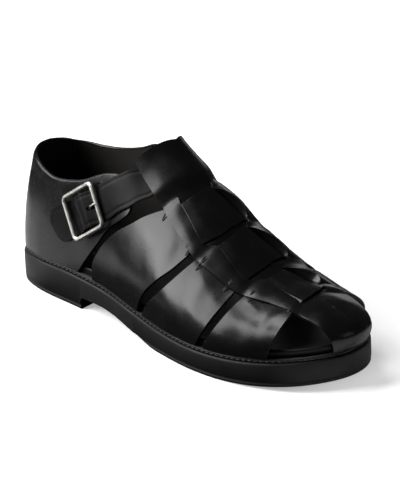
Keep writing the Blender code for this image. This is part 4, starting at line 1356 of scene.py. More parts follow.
@dataclass
class VampWeave:
    """Centre strip with toe cap and band, and the three side straps woven through it.

    Attributes:
        last: The last.
        row_step: Largest step between two rows of the strip, in section rows.
        margin_columns: Columns of each margin.
        middle_columns: Columns between the slits.
        lens: Widest opening of the medial slits, as a share of the section.
        arch: How far the medial margin arches up beside each square.
        rounding: Rounding of cut edges.
        thread: Radius of the stitching thread.
        slit_depth: Depth of an open slit's floor, in LEATHER.
        margin_start: Rows between which the margins grow out of the band.
        skive: How much thinner the margins are pared at their edge, in LEATHER.
        skive_rows: Rows between which that starts, and between which it ends.
        thinnest: Thinnest wall of the strip, in LEATHER.
        strip_waves: Height of the waves in the strip and cap.
        cap_grid: Rows of the cap beside the strip, and columns round it.
        strap_waves: Height of the waves in the side straps.
        strap_columns: Columns of a side strap, from its rear to its front edge.
        at_slits: Share of the full height that a square has at its slits.
        falls: Share of the way to the feather where it is down, lateral and medial.
        square_rise: Shares of the square's width between which it reaches its full height.
        inner_rise: Share of its leather's thickness that the wall loses in a square.
        fold_steps: Points round the band's fold.
        fold_out: How far the fold stands above the band, in LEATHER, and behind it.
        fold_inside: Height and depth of the fold's inner face, as shares of the outer one.
        lining: Rows of the band's inner layer, and rounding of its edges.
        tack: Turn of a bar tack's two stitches, and their distance from its middle.
        tie: Half length, lift in LEATHER and share of the thread's radius, at a slit's end.
        creases: Creases of the side straps.
    """

    last: Last
    row_step: float = 0.04
    margin_columns: int = 9
    middle_columns: int = 17
    lens: float = 0.080
    arch: float = 0.0034
    rounding: float = 0.00032
    thread: float = 0.00034
    slit_depth: float = 0.45
    margin_start: tuple[float, float] = (7.02, 7.14)
    skive: float = 0.30
    skive_rows: tuple[tuple[float, float], tuple[float, float]] = ((7.0, 7.4), (10.4, 10.95))
    thinnest: float = 0.5
    strip_waves: float = 0.00007
    cap_grid: tuple[int, int] = (40, 96)
    strap_waves: float = 0.00011
    strap_columns: int = 25
    at_slits: float = 0.80
    falls: tuple[float, float] = (0.06, 0.05)
    square_rise: tuple[float, float] = (-0.02, 0.24)
    inner_rise: float = 0.35
    fold_steps: int = 15
    fold_out: tuple[float, float] = (0.08, 0.0020)
    fold_inside: tuple[float, float] = (0.42, 0.35)
    lining: tuple[int, float] = (24, 0.0002)
    tack: tuple[float, float] = (0.16, 0.00045)
    tie: tuple[float, float, float] = (0.0016, 1.75, 0.9)
    creases: tuple[Crease, ...] = (
        Crease((9.40, -0.42), (9.72, -0.46), 0.0016, 0.00022),
        Crease((10.40, -0.40), (10.22, -0.62), 0.0028, 0.00014),
        Crease((10.12, -0.38), (9.98, -0.56), 0.0028, -0.00014),
        Crease((7.05, -0.50), (6.90, -0.72), 0.0040, 0.00028),
        Crease((7.34, -0.52), (7.12, -0.80), 0.0045, -0.00022),
        Crease((8.20, -0.50), (8.05, -0.74), 0.0040, 0.00022),
        Crease((4.60, -0.84), (7.3, -0.84), 0.0090, 0.00150),
        Crease((4.60, 0.84), (7.3, 0.84), 0.0090, 0.00120),
    )

    def columns(self, row: float) -> tuple[np.ndarray, np.ndarray]:
        """Places across of one row of the strip, and which part each is in.

        Args:
            row: Row of the strip.

        Returns:
            v of each column, and 0 for a margin, 1 for the middle, 2 for the floor of a slit.
        """
        edge_l, slit_l, slit_m, edge_m = (
            np.interp(row, STRIP_EDGES[:, 0], STRIP_EDGES[:, k]) for k in (1, 2, 3, 4)
        )
        merging = float(np.clip((CAP_ROW - row) / MERGE_LENGTH, 0, 1))
        half = SLIT_HALF * merging * 0.5 + edge_m / 24 * (1 - merging)
        gap = self.lens_at(row)
        lateral = np.linspace(edge_l, slit_l - half, self.margin_columns)
        centre = np.linspace(slit_l + half, slit_m - half, self.middle_columns)
        medial = np.linspace(slit_m + half + gap, edge_m, self.margin_columns)
        v = np.concatenate([lateral, [slit_l], centre, [slit_m + gap * 0.5], medial])
        side = [0] * self.margin_columns
        return v, np.array(side + [2] + [1] * self.middle_columns + [2] + side)

    def slit_at(self, row: float) -> float:
        """How far the slits are cut open at a row.

        Args:
            row: Row of the strip.

        Returns:
            1 beside a square, 0 between two of them.
        """
        return max(
            float(smooth_step(row, rear - 0.03, rear + 0.01) * smooth_step(-row, -front - 0.05, -front))
            for rear, front in SQUARES
        )

    def lens_at(self, row: float) -> float:
        """Opening of the medial slit at a row.

        Args:
            row: Row of the strip.

        Returns:
            Its width, as a share of the section.
        """
        for rear, front in SQUARES:
            if rear < row < front:
                share = (row - rear) / (front - rear)
                return self.lens * math.sin(math.pi * share) ** 0.7
        return 0.0

    def strip_rows(self) -> np.ndarray:
        """Rows of the strip, with one at every mark of its tables.

        Returns:
            The rows, in order.
        """
        marks = np.concatenate([STRIP_EDGES[:, 0], STRIP_LIFTS[:, 0], np.ravel(SQUARES)])
        marks = np.unique(marks[marks <= CAP_ROW])
        rows = [marks[0]]
        for mark in marks[1:]:
            steps = max(1, math.ceil((mark - rows[-1]) / self.row_step))
            rows += list(np.linspace(rows[-1], mark, steps + 1)[1:])
        return np.array(rows)

    def strip(self) -> Object:
        """Centre strip and toe cap as one wall.

        Returns:
            The new object.
        """
        rows = self.strip_rows()
        v = np.array([self.columns(row)[0] for row in rows])
        part = self.columns(rows[0])[1]
        u = bent(rows[:, None], v)
        margin, middle, under = (LEATHER * soft_table(rows, k)[:, None] for k in (1, 2, 3))
        margin = middle + (margin - middle) * smooth_step(rows, *self.margin_start)[:, None]
        opened = np.array([self.slit_at(row) for row in rows])[:, None]
        floor = np.minimum(margin, middle) - self.slit_depth * LEATHER * opened
        top = np.select([part == 0, part == 2], [margin, floor], middle)
        across = np.concatenate([
            np.linspace(1, 0, self.margin_columns),
            np.zeros(self.middle_columns + 2),
            np.linspace(0, 1, self.margin_columns),
        ])
        start, end = self.skive_rows
        pared = (smooth_step(rows, *start) * (1 - smooth_step(rows, *end)))[:, None]
        thin = self.skive * LEATHER * across ** 3 * pared * (part == 0)
        swell = self.arch * np.array([self.lens_at(row) for row in rows])[:, None] / self.lens
        swell = swell * (1 - across) * ((part == 0) & (v > 0))
        base = np.where(part == 0, np.maximum(under, margin - LEATHER * MARGIN_WALL), under) + swell
        top = top - thin + swell + ripple(u, v, self.strip_waves)
        wall = Wall(self.last)
        wall.grid(u, v, top, np.minimum(base, top - LEATHER * self.thinnest))
        self.cap(wall, v[-1])
        return wall.build("vamp_strip_and_cap", LEATHER_SET, self.rounding)

    def cap(self, wall: Wall, strip_v: np.ndarray) -> None:
        """Adds the toe cap in front of the strip's last row.

        Args:
            wall: Wall that takes it.
            strip_v: Places across of the strip's last row.
        """
        rows, columns = self.cap_grid
        wide = np.linspace(strip_v[-1], 1.0, rows)[1:]
        cap_v = np.unique(np.round(np.concatenate([np.abs(strip_v), wide]), 5))[::-1]
        start = follow(CAP_EDGE, cap_v)
        start = np.where(cap_v <= strip_v[-1] + 1e-4, CAP_ROW, np.maximum(start, CAP_ROW))
        turn = np.abs(np.linspace(-1, 1, columns))
        sign = np.where(np.arange(columns) < columns // 2, -1, 1)
        u = LAST_ROW - (LAST_ROW - start[:, None]) * turn
        v = cap_v[:, None] * sign
        wall.grid(u, v, LEATHER * soft_table(u, 1) + ripple(u, v, self.strip_waves) * (turn < 1), 0.0)

    def side_strap(self, strap: Strap) -> Object:
        """One strap of the weave, feather to feather, raised between the two slits.

        Args:
            strap: Which one.

        Returns:
            The new object.
        """
        rear_l, front_l, rear_m, front_m = STRAP_SLITS[strap]
        outer = np.concatenate([np.linspace(1, 0.16, 42), np.linspace(0.14, 0.005, 9)])
        inner = np.concatenate([
            np.linspace(0.004, 0.05, 8), np.linspace(0.08, 0.92, 28), np.linspace(0.95, 0.996, 8),
        ])

        def stations(lateral: float, medial: float) -> np.ndarray:
            """Places across of one edge's stations, from those of its two slits."""
            beyond = lateral + (-1 - lateral) * outer, medial + (1 - medial) * outer[::-1]
            return np.concatenate([beyond[0], lateral + (medial - lateral) * inner, beyond[1]])[:, None]

        lateral, medial = (self.at_slits * (1 - smooth_step(outer, 0.0, fall)) for fall in self.falls)
        square = smooth_step(np.minimum(inner, 1 - inner), *self.square_rise)
        square = self.at_slits + (1 - self.at_slits) * square
        raised = np.concatenate([lateral, square, medial[::-1]])[:, None]
        rear_v = stations(rear_l, rear_m)
        front_v = stations(front_l, front_m)
        shares = np.linspace(0, 1, self.strap_columns)
        edges = STRAP_EDGES[strap]
        ahead = SQUARE_FRONTS[strap]
        rear_u = follow(edges, np.abs(rear_v), 1)
        front_u = follow(edges, np.abs(front_v), 2) + np.interp(front_v, ahead[:, 0], ahead[:, 1])
        u = rear_u + (front_u - rear_u) * shares
        v = rear_v + (front_v - rear_v) * shares
        crown = BULGE_LIFT * raised * (1 - (2 * shares - 1) ** 2)
        fold = sum(crease.lift(u, v) for crease in self.creases)
        top = LEATHER * (1 + (RAISED_LIFT - 1) * raised + crown) + fold + ripple(u, v, self.strap_waves)
        wall = Wall(self.last)
        wall.grid(u, v, top, top - LEATHER * (1 - self.inner_rise * raised))
        return wall.build("side_strap_" + strap.value, LEATHER_SET, self.rounding)

    def loop_fold(self) -> Object:
        """The band's rear edge, folded round the ankle strap.

        Returns:
            The new object.
        """
        row = float(STRIP_EDGES[0, 0])
        v = self.columns(row)[0] * LOOP_WIDTH
        u = FOLD_ROW + bent(row, v)
        low = self.last.place(u, v, 0.0)
        high = self.last.place(u, v, LEATHER)
        normal = (high - low) / LEATHER
        back = self.last.place(u - 0.05, v, 0.0) - low
        back -= normal * np.sum(back * normal, axis=1, keepdims=True)
        back /= np.linalg.norm(back, axis=1, keepdims=True)
        above, behind = self.fold_out
        middle = LEATHER * (STRIP_LIFTS[0, 1] + above) / 2
        verts = []
        for out, deep in ((1.0, 1.0), self.fold_inside):
            for a in np.linspace(0, math.pi, self.fold_steps):
                rise = normal * middle * (1 + math.cos(a) * out)
                verts.append(low + rise + back * behind * math.sin(a) * deep)
        rings = self.fold_steps
        cols = len(v)
        verts = np.concatenate(verts)
        faces: Faces = []
        slots: list[int] = []
        for layer in (0, rings * cols):
            for k in range(rings - 1):
                for c in range(cols - 1):
                    a = layer + k * cols + c
                    faces.append((a, a + 1, a + cols + 1, a + cols))
                    slots.append(0)
        inner = rings * cols
        for k in (0, (rings - 1) * cols):
            faces += [(k + c, k + c + 1, inner + k + c + 1, inner + k + c) for c in range(cols - 1)]
            slots += [1] * (cols - 1)
        for c in (0, cols - 1):
            for k in range(rings - 1):
                a = k * cols + c
                faces.append((a, a + cols, inner + a + cols, inner + a))
                slots.append(1)
        piece = keep("band_fold", verts, faces, LEATHER_SET, slots)
        round_edges(piece, self.rounding * 0.7, angle=50)
        return piece

    def loop_lining(self) -> Object:
        """Inner layer of the band, under the ankle strap.

        Returns:
            The new object.
        """
        count, rounding = self.lining
        rows = STRIP_EDGES[0, 0] + np.linspace(FOLD_ROW, LINING_LAST_ROW, count)
        v = np.array([self.columns(row)[0] for row in rows]) * LOOP_WIDTH
        wall = Wall(self.last)
        wall.grid(bent(rows[:, None], v), v, LEATHER * LOOP_LINING, 0.0)
        return wall.build("band_inner_layer", (LINING_CALF, INKED_EDGE_PAINTED_HIGHLIGHT, LINING_CALF), rounding)

    def tacks(self) -> Object:
        """Hand-tied bar tacks along the strip's edges, and small crossed ones at the slit ends.

        Returns:
            The new object.
        """
        bundle = Bundle()
        spread, aside = self.tack
        for u, v, direction, length, lift in TACKS:
            for turn in (-1, 1):
                half = on_last(direction + turn * spread) * length / 2
                shift = on_last(direction + math.pi / 2) * turn * aside
                stitch_on(bundle, self.last, (u, v), half, lift, self.thread, shift)
        reach, lift, share = self.tie
        for end in SLIT_ENDS:
            for angle in (0.2, 1.3, 2.3):
                half = on_last(angle) * reach
                stitch_on(bundle, self.last, end, half, LEATHER * lift, self.thread * share)
        # The tacks' thread is painted paler, a painted highlight
        return bundle.build("hand_tacks", TACK_THREAD_PAINTED_HIGHLIGHT)

    def build(self) -> list[Object]:
        """All pieces of the vamp.

        Returns:
            The new objects.
        """
        pieces = [self.strip()]
        pieces += [self.side_strap(strap) for strap in Strap]
        pieces += [self.loop_fold(), self.loop_lining()]
        for piece in pieces:
            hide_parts("upper")
        tacks = self.tacks()
        return pieces + [tacks]


@dataclass
class HeelCounter:
    """Heel counter with its bound collar, lining and seams.

    Attributes:
        last: The last.
        columns: Columns from wing to wing.
        rows: Rows from the feather to the collar.
        bead: Radius of the collar's binding.
        rounding: Rounding of cut edges.
        edge_rise: How far the leather swells over the binding.
        edge_heights: Shares of the counter's height between which it does.
        waves: Height of its waves.
        grip_end: u where the heel grip inside ends.
        bead_stations: Stations along the binding.
        bead_reach: Share of the collar that it runs along.
        bead_level: Its middle, in LEATHER.
        bead_end: Its radius at the ends, as a share of the full one.
        bead_fade: Distance from the ends over which it fades, in section rows.
        seam_marks: Heights of the grip's first stitch, from one to the next, and of its length.
        seam_slant: How far the seam leans forward over the height, in section rows.
        seam_thread: Radius of its thread.
        wing_tack: u and v of the tack inside the medial wing.
        wing_stitch: Half length of its stitches, and radius of its thread.
    """

    last: Last
    columns: int = 221
    rows: int = 56
    bead: float = 0.00115
    rounding: float = 0.00035
    edge_rise: float = 0.00035
    edge_heights: tuple[float, float] = (0.86, 0.97)
    waves: float = 0.00009
    grip_end: float = 4.62
    bead_stations: int = 260
    bead_reach: float = 0.985
    bead_level: float = 0.52
    bead_end: float = 0.55
    bead_fade: float = 0.9
    seam_marks: tuple[float, float, float] = (0.12, 0.068, 0.05)
    seam_slant: float = 0.10
    seam_thread: float = 0.00028
    wing_tack: tuple[float, float] = (5.16, 0.530)
    wing_stitch: tuple[float, float] = (0.0018, 0.00034)

    def place_across(self, share: Values, w: Values) -> tuple[np.ndarray, np.ndarray]:
        """Places at a share of the counter's height.

        Args:
            share: Shares of the height, from the feather (0) to the collar (1).
            w: Section rows, counted below 0 on the lateral side.

        Returns:
            u and v.
        """
        u = np.abs(w)
        collar = np.where(np.asarray(w) < 0, follow(COLLAR, u, 1), follow(COLLAR, u, 2))
        return u, np.where(np.asarray(w) < 0, -1, 1) * (1 - share * collar)

    def wall(self) -> Object:
        """Counter and wings as one wall.

        Returns:
            The new object.
        """
        share = np.linspace(0, 1, self.rows)[:, None]
        w = np.linspace(-1, 1, self.columns) * follow(COUNTER_FRONT, share)
        u, v = self.place_across(share, w)
        rise = self.edge_rise * smooth_step(share, *self.edge_heights)
        rise = rise * smooth_step(BEAD_END_U + 0.5 - u, 0, 0.8)
        wall = Wall(self.last)
        top = LEATHER + rise + ripple(w + 3, v, self.waves)
        wall.grid(u, v, top, -rise * 0.4, lambda row, _: 3 if row < self.grip_end else 2)
        return wall.build("counter_wall", LEATHER_SET + (HEEL_GRIP,), self.rounding)

    def binding(self) -> Object:
        """Rolled binding along the collar, fading into the wings.

        Returns:
            The new object.
        """
        reach = float(follow(COUNTER_FRONT, 1.0))
        w = np.linspace(-reach * self.bead_reach, reach * self.bead_reach, self.bead_stations)
        fade = smooth_step(reach - np.abs(w), 0.0, self.bead_fade)
        line = self.last.place(*self.place_across(1.0, w), LEATHER * self.bead_level)
        radius = self.bead * (self.bead_end + (1 - self.bead_end) * fade)
        verts, faces = tube(line, radius, 14)
        return keep("collar_binding", verts, faces, [POLISHED_CALF])

    def seams(self) -> Object:
        """Seam of the heel grip inside, and the small tack at the medial wing.

        Returns:
            The new object.
        """
        bundle = Bundle()
        first, step, length = self.seam_marks
        for side in Side:
            for k in range(13):
                low = first + k * step
                marks = [(h, side.value * (self.grip_end + self.seam_slant * h)) for h in (low, low + length)]
                (u, v), end = (self.place_across(*mark) for mark in marks)
                start, end = (self.last.place(*place, -0.00005) for place in ((u, v), end))
                bundle.stitch(start, end, -self.last.normal(float(u), float(v)), self.seam_thread)
        reach, radius = self.wing_stitch
        for angle in (0.0, 0.9, 1.8):
            stitch_on(bundle, self.last, self.wing_tack, on_last(angle) * reach, -0.0001, radius, out=-1)
        return bundle.build("counter_stitches", THREAD)

    def build(self) -> list[Object]:
        """All pieces of the counter.

        Returns:
            The new objects.
        """
        wall = self.wall()
        binding = self.binding()
        seams = self.seams()
        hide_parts("quarter")
        return [wall, binding, seams]


@dataclass
class AnkleStrap:
    """Strap through the band's loop and over the buckle's bar, with creased edges and a pointed tip.

    Attributes:
        last: The last.
        stations: Stations along it.
        columns: Columns across it.
        crease_inset: Distance of the creased line from the edge, as a share of the width.
        crease_depth: Depth of that line.
        crease_width: Width of that line, as a share of the strap's.
        crown: How far its middle is rounded up.
        set_down: How far it is set down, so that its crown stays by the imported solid's face.
        waves: Height of its waves.
        rounding: Rounding of its cut edges.
        stitch_rows: Shares of the width of its two rows of end stitches.
        stitch_stations: Stations from the end to the first stitch, from one to the next, and of its length.
        thread: Radius of the thread.
    """

    last: Last
    stations: int = 300
    columns: int = 33
    crease_inset: float = 0.105
    crease_depth: float = 0.00016
    crease_width: float = 0.028
    crown: float = 0.00018
    set_down: float = 0.00012
    waves: float = 0.00006
    rounding: float = 0.00035
    stitch_rows: tuple[float, float] = (0.16, 0.84)
    stitch_stations: tuple[int, int, int] = (8, 6, 4)
    thread: float = 0.0003

    def path(self, count: int) -> np.ndarray:
        """Stations along the smooth strap path.

        Args:
            count: How many.

        Returns:
            Rows with the columns of STRAP_PATH.
        """
        first, last = STRAP_PATH[0] * 2 - STRAP_PATH[1], STRAP_PATH[-1] * 2 - STRAP_PATH[-2]
        padded = np.vstack([first, STRAP_PATH, last])
        return catmull(padded, np.linspace(0, len(STRAP_PATH) - 1, count))

    def strap(self, hole: Object) -> Object:
        """The strap itself, pierced for the prong.

        Args:
            hole: Cutter of the hole.

        Returns:
            The new object.
        """
        up_u, up_v, low_u, low_v, lift = (column[:, None] for column in self.path(self.stations).T)
        shares = np.linspace(0, 1, self.columns)
        near = np.minimum(shares, 1 - shares)
        groove = self.crease_depth * np.exp(-((near - self.crease_inset) / self.crease_width) ** 2)
        crown = self.crown * (1 - (2 * shares - 1) ** 4)
        u = up_u + (low_u - up_u) * shares
        v = up_v + (low_v - up_v) * shares
        base = LEATHER * lift
        wall = Wall(self.last)
        top = base + STRAP_LEATHER - groove + crown - self.set_down + ripple(u, v, self.waves)
        wall.grid(u, v, top, base)
        # Its outside is the darker copy of the calf, painted shade; its cut edges are painted lighter as a
        # highlight
        strap = wall.build("ankle_strap_leather", (STRAP_CALF_PAINTED_SHADE, INKED_EDGE_PAINTED_HIGHLIGHT, LINING_CALF), 0.0)
        cut(strap, hole, "prong_hole")
        round_edges(strap, self.rounding, angle=45)
        return strap

    def end_stitches(self) -> Object:
        """Two rows of stitches that hold the strap's end to the medial wing.

        Returns:
            The new object.
        """
        bundle = Bundle()
        path = self.path(self.stations)
        start, step, length = self.stitch_stations
        for share in self.stitch_rows:
            for k in range(5):
                first = self.stations - start - k * step
                line = []
                for row in (path[first], path[first - length]):
                    u = row[0] + (row[2] - row[0]) * share
                    v = row[1] + (row[3] - row[1]) * share
                    line.append(self.last.place(u, v, LEATHER * row[4] + STRAP_LEATHER))
                normal = self.last.normal(float(u), float(v))
                bundle.stitch(line[0], line[1], normal, self.thread)
        return bundle.build("strap_end_stitches", THREAD)

    def build(self, hole: Object) -> list[Object]:
        """All pieces of the strap.

        Args:
            hole: Cutter of the prong's hole.

        Returns:
            The new objects.
        """
        strap = self.strap(hole)
        stitches = self.end_stitches()
        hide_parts("ankle_strap")
        return [strap, stitches]


@dataclass
class Buckle:
    """Square wire buckle: a frame with flattened faces, its centre bar and a prong on a sleeve.

    Attributes:
        last: The last.
        face: Half height of the frame's section.
        flat: Half width of the flat on each face of the section.
        corner_steps: Points round each corner.
        frame_rounding: Rounding of the section's corners.
        sight: Section rows ahead and behind that its direction is taken from.
        crank: Length of each of the four steps of the bar's bend at its ends.
        straight: Distance from the frame to the bar's straight run.
        sleeve_break: Break of the sleeve's edges.
        sleeve_sides: Faces round the sleeve.
        prong_steps: Points along the prong.
        prong_start: Share of the way to the fore bar where it leaves the sleeve.
    """

    last: Last
    face: float = WIRE_RADIUS
    flat: float = 0.00062
    corner_steps: int = 10
    frame_rounding: float = 0.00022
    sight: float = 0.4
    crank: float = 0.0006
    straight: float = 0.004
    sleeve_break: float = 0.00015
    sleeve_sides: int = 32
    prong_steps: int = 40
    prong_start: float = 0.07

    def axes(self) -> tuple[np.ndarray, np.ndarray, np.ndarray, np.ndarray]:
        """Where the buckle lies.

        Returns:
            Its centre at the centre bar, and its directions along, across and out.
        """
        s = 1 - abs(BUCKLE_V)
        base = self.last.side_point(Side.LATERAL, BUCKLE_U, s)
        normal = self.last.side_normal(Side.LATERAL, BUCKLE_U, s)
        ahead = self.last.side_point(Side.LATERAL, BUCKLE_U + self.sight, s + BUCKLE_TURN)
        behind = self.last.side_point(Side.LATERAL, BUCKLE_U - self.sight, s - BUCKLE_TURN)
        along = ahead - behind
        along = along - normal * (along @ normal)
        along /= np.linalg.norm(along)
        lift = LEATHER + JOINT_GAP + SLEEVE_WALL + JOINT_GAP + BAR_RADIUS
        return base + normal * lift + self.last.shift, along, np.cross(normal, along), normal

    def rise(self) -> float:
        """Height of the frame above the centre bar.

        Returns:
            The height.
        """
        strap_top = LEATHER * STRAP_LIFT_AT_FRAME + STRAP_LEATHER
        bar_level = LEATHER + 2 * JOINT_GAP + SLEEVE_WALL + BAR_RADIUS
        return strap_top + JOINT_GAP + WIRE_RADIUS - bar_level

    def to_world(self, points: np.ndarray) -> np.ndarray:
        """Points of the buckle's own frame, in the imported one."""
        origin, along, across, normal = self.axes()
        return origin + points[:, :1] * along + points[:, 1:2] * across + points[:, 2:3] * normal

    def outline(self, length: float, width: float, radius: float) -> np.ndarray:
        """Rounded rectangle round the origin.

        Args:
            length: Its length.
            width: Its width.
            radius: Radius of its corners.

        Returns:
            Its points, in order.
        """
        points = []
        for cx, cy, start in (
            (length / 2 - radius, width / 2 - radius, 0.0),
            (radius - length / 2, width / 2 - radius, 0.5),
            (radius - length / 2, radius - width / 2, 1.0),
            (length / 2 - radius, radius - width / 2, 1.5),
        ):
            for k in range(self.corner_steps + 1):
                angle = math.pi * (start + 0.5 * k / self.corner_steps)
                points.append((cx + radius * math.cos(angle), cy + radius * math.sin(angle), 0.0))
        return np.array(points)

    def frame(self) -> Object:
        """Frame of wire that was rolled to a section with four flats and broken corners.

        Returns:
            The new object.
        """
        length = BUCKLE_LENGTH - 2 * WIRE_RADIUS
        width = BUCKLE_WIDTH - 2 * WIRE_RADIUS
        section = []
        for side_x, side_z in ((1, 1), (-1, 1), (-1, -1), (1, -1)):
            order = ((self.face, self.flat), (self.flat, self.face))
            if side_x * side_z < 0:
                order = order[::-1]
            section += [(side_x * a, side_z * b) for a, b in order]
        rings = []
        for offset, level in section:
            ring = self.outline(length + 2 * offset, width + 2 * offset, BUCKLE_CORNER + offset)
            rings.append(ring + np.array([0, 0, self.rise() + level]))
        faces = ring_quads(len(rings), len(rings[0]), closed=True)
        piece = keep("buckle_wire_frame", self.to_world(np.concatenate(rings)), faces, [NICKEL])
        round_edges(piece, self.frame_rounding, angle=25)
        return piece

    def bar(self) -> Object:
        """Centre bar, its ends riveted into the frame.

        Returns:
            The new object.
        """
        side = BUCKLE_WIDTH / 2 - WIRE_RADIUS
        bend = [(0, side - self.crank * k, self.rise() * (1 - k / 4)) for k in range(5)]
        line = [(x, -y, z) for x, y, z in bend]
        line += [(0, y, 0) for y in np.linspace(-side + self.straight, side - self.straight, 9)]
        line += reversed(bend)
        verts, faces = tube(self.to_world(np.array(line, float)), BAR_RADIUS, 16)
        return keep("buckle_bar", verts, faces, [NICKEL])

    def prong(self) -> Object:
        """Prong with its sleeve rolled round the centre bar, tapered to its tip.

        Returns:
            The new object.
        """
        bundle = Bundle()
        bore = BAR_RADIUS + JOINT_GAP
        outside = bore + SLEEVE_WALL
        half = SLEEVE_WIDTH / 2
        near = [(half, bore), (half, outside - self.sleeve_break), (half - self.sleeve_break, outside)]
        section = [(-y, radius) for y, radius in near] + near[::-1]
        angles = np.linspace(0, 2 * math.pi, self.sleeve_sides, endpoint=False)
        rings = [
            np.column_stack([radius * np.cos(angles), np.full(len(angles), y), radius * np.sin(angles)])
            for y, radius in section
        ]
        faces = ring_quads(len(rings), len(angles), closed=True)
        bundle.add(self.to_world(np.concatenate(rings)), faces)
        fore = BUCKLE_LENGTH / 2 - WIRE_RADIUS
        top = self.rise() + WIRE_RADIUS + JOINT_GAP + PRONG_RADIUS
        table = np.array([(self.prong_start, 0.0), *PRONG_BEND, (1.0 + PRONG_TIP_PAST_BAR / fore, 1.0)])
        reach = np.linspace(table[0, 0], table[-1, 0], self.prong_steps)
        radius = PRONG_RADIUS * (1.05 - 0.35 * smooth_step(reach, 0.5, 1.05))
        radius[-3:] *= (0.9, 0.7, 0.35)
        line = np.column_stack([fore * reach, np.zeros(len(reach)), top * follow(table, reach)])
        verts, faces = tube(line, radius, 14, up=np.tile((0.0, 1.0, 0.0), (len(reach), 1)))
        bundle.add(self.to_world(verts), faces)
        return bundle.build("buckle_tongue", NICKEL)

    def hole_cutter(self) -> Object:
        """Slot that the prong passes through.

        Returns:
            The new object.
        """
        half = PRONG_RADIUS + LAYER_GAP
        ring = self.outline(HOLE_LENGTH, 2 * half, half * HOLE_END_ROUND)
        ring[:, 0] += HOLE_LENGTH * 0.5 + HOLE_START
        count = len(ring)
        depth = np.array([0, 0, HOLE_CUT_DEPTH / 2])
        verts = np.vstack([ring - depth, ring + depth])
        faces = [tuple(range(count)), tuple(range(count, 2 * count))]
        faces += ring_quads(2, count)
        # The slot's walls take the edge colour, painted lighter as a highlight
        return keep("prong_slot", self.to_world(verts), faces, [INKED_EDGE_PAINTED_HIGHLIGHT])

    def build(self) -> list[Object]:
        """All pieces of the buckle.

        Returns:
            The new objects.
        """
        frame, bar, prong = self.frame(), self.bar(), self.prong()
        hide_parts("buckle_frame")
        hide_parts("buckle_frame")
        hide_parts("buckle_prong")
        return [frame, bar, prong]


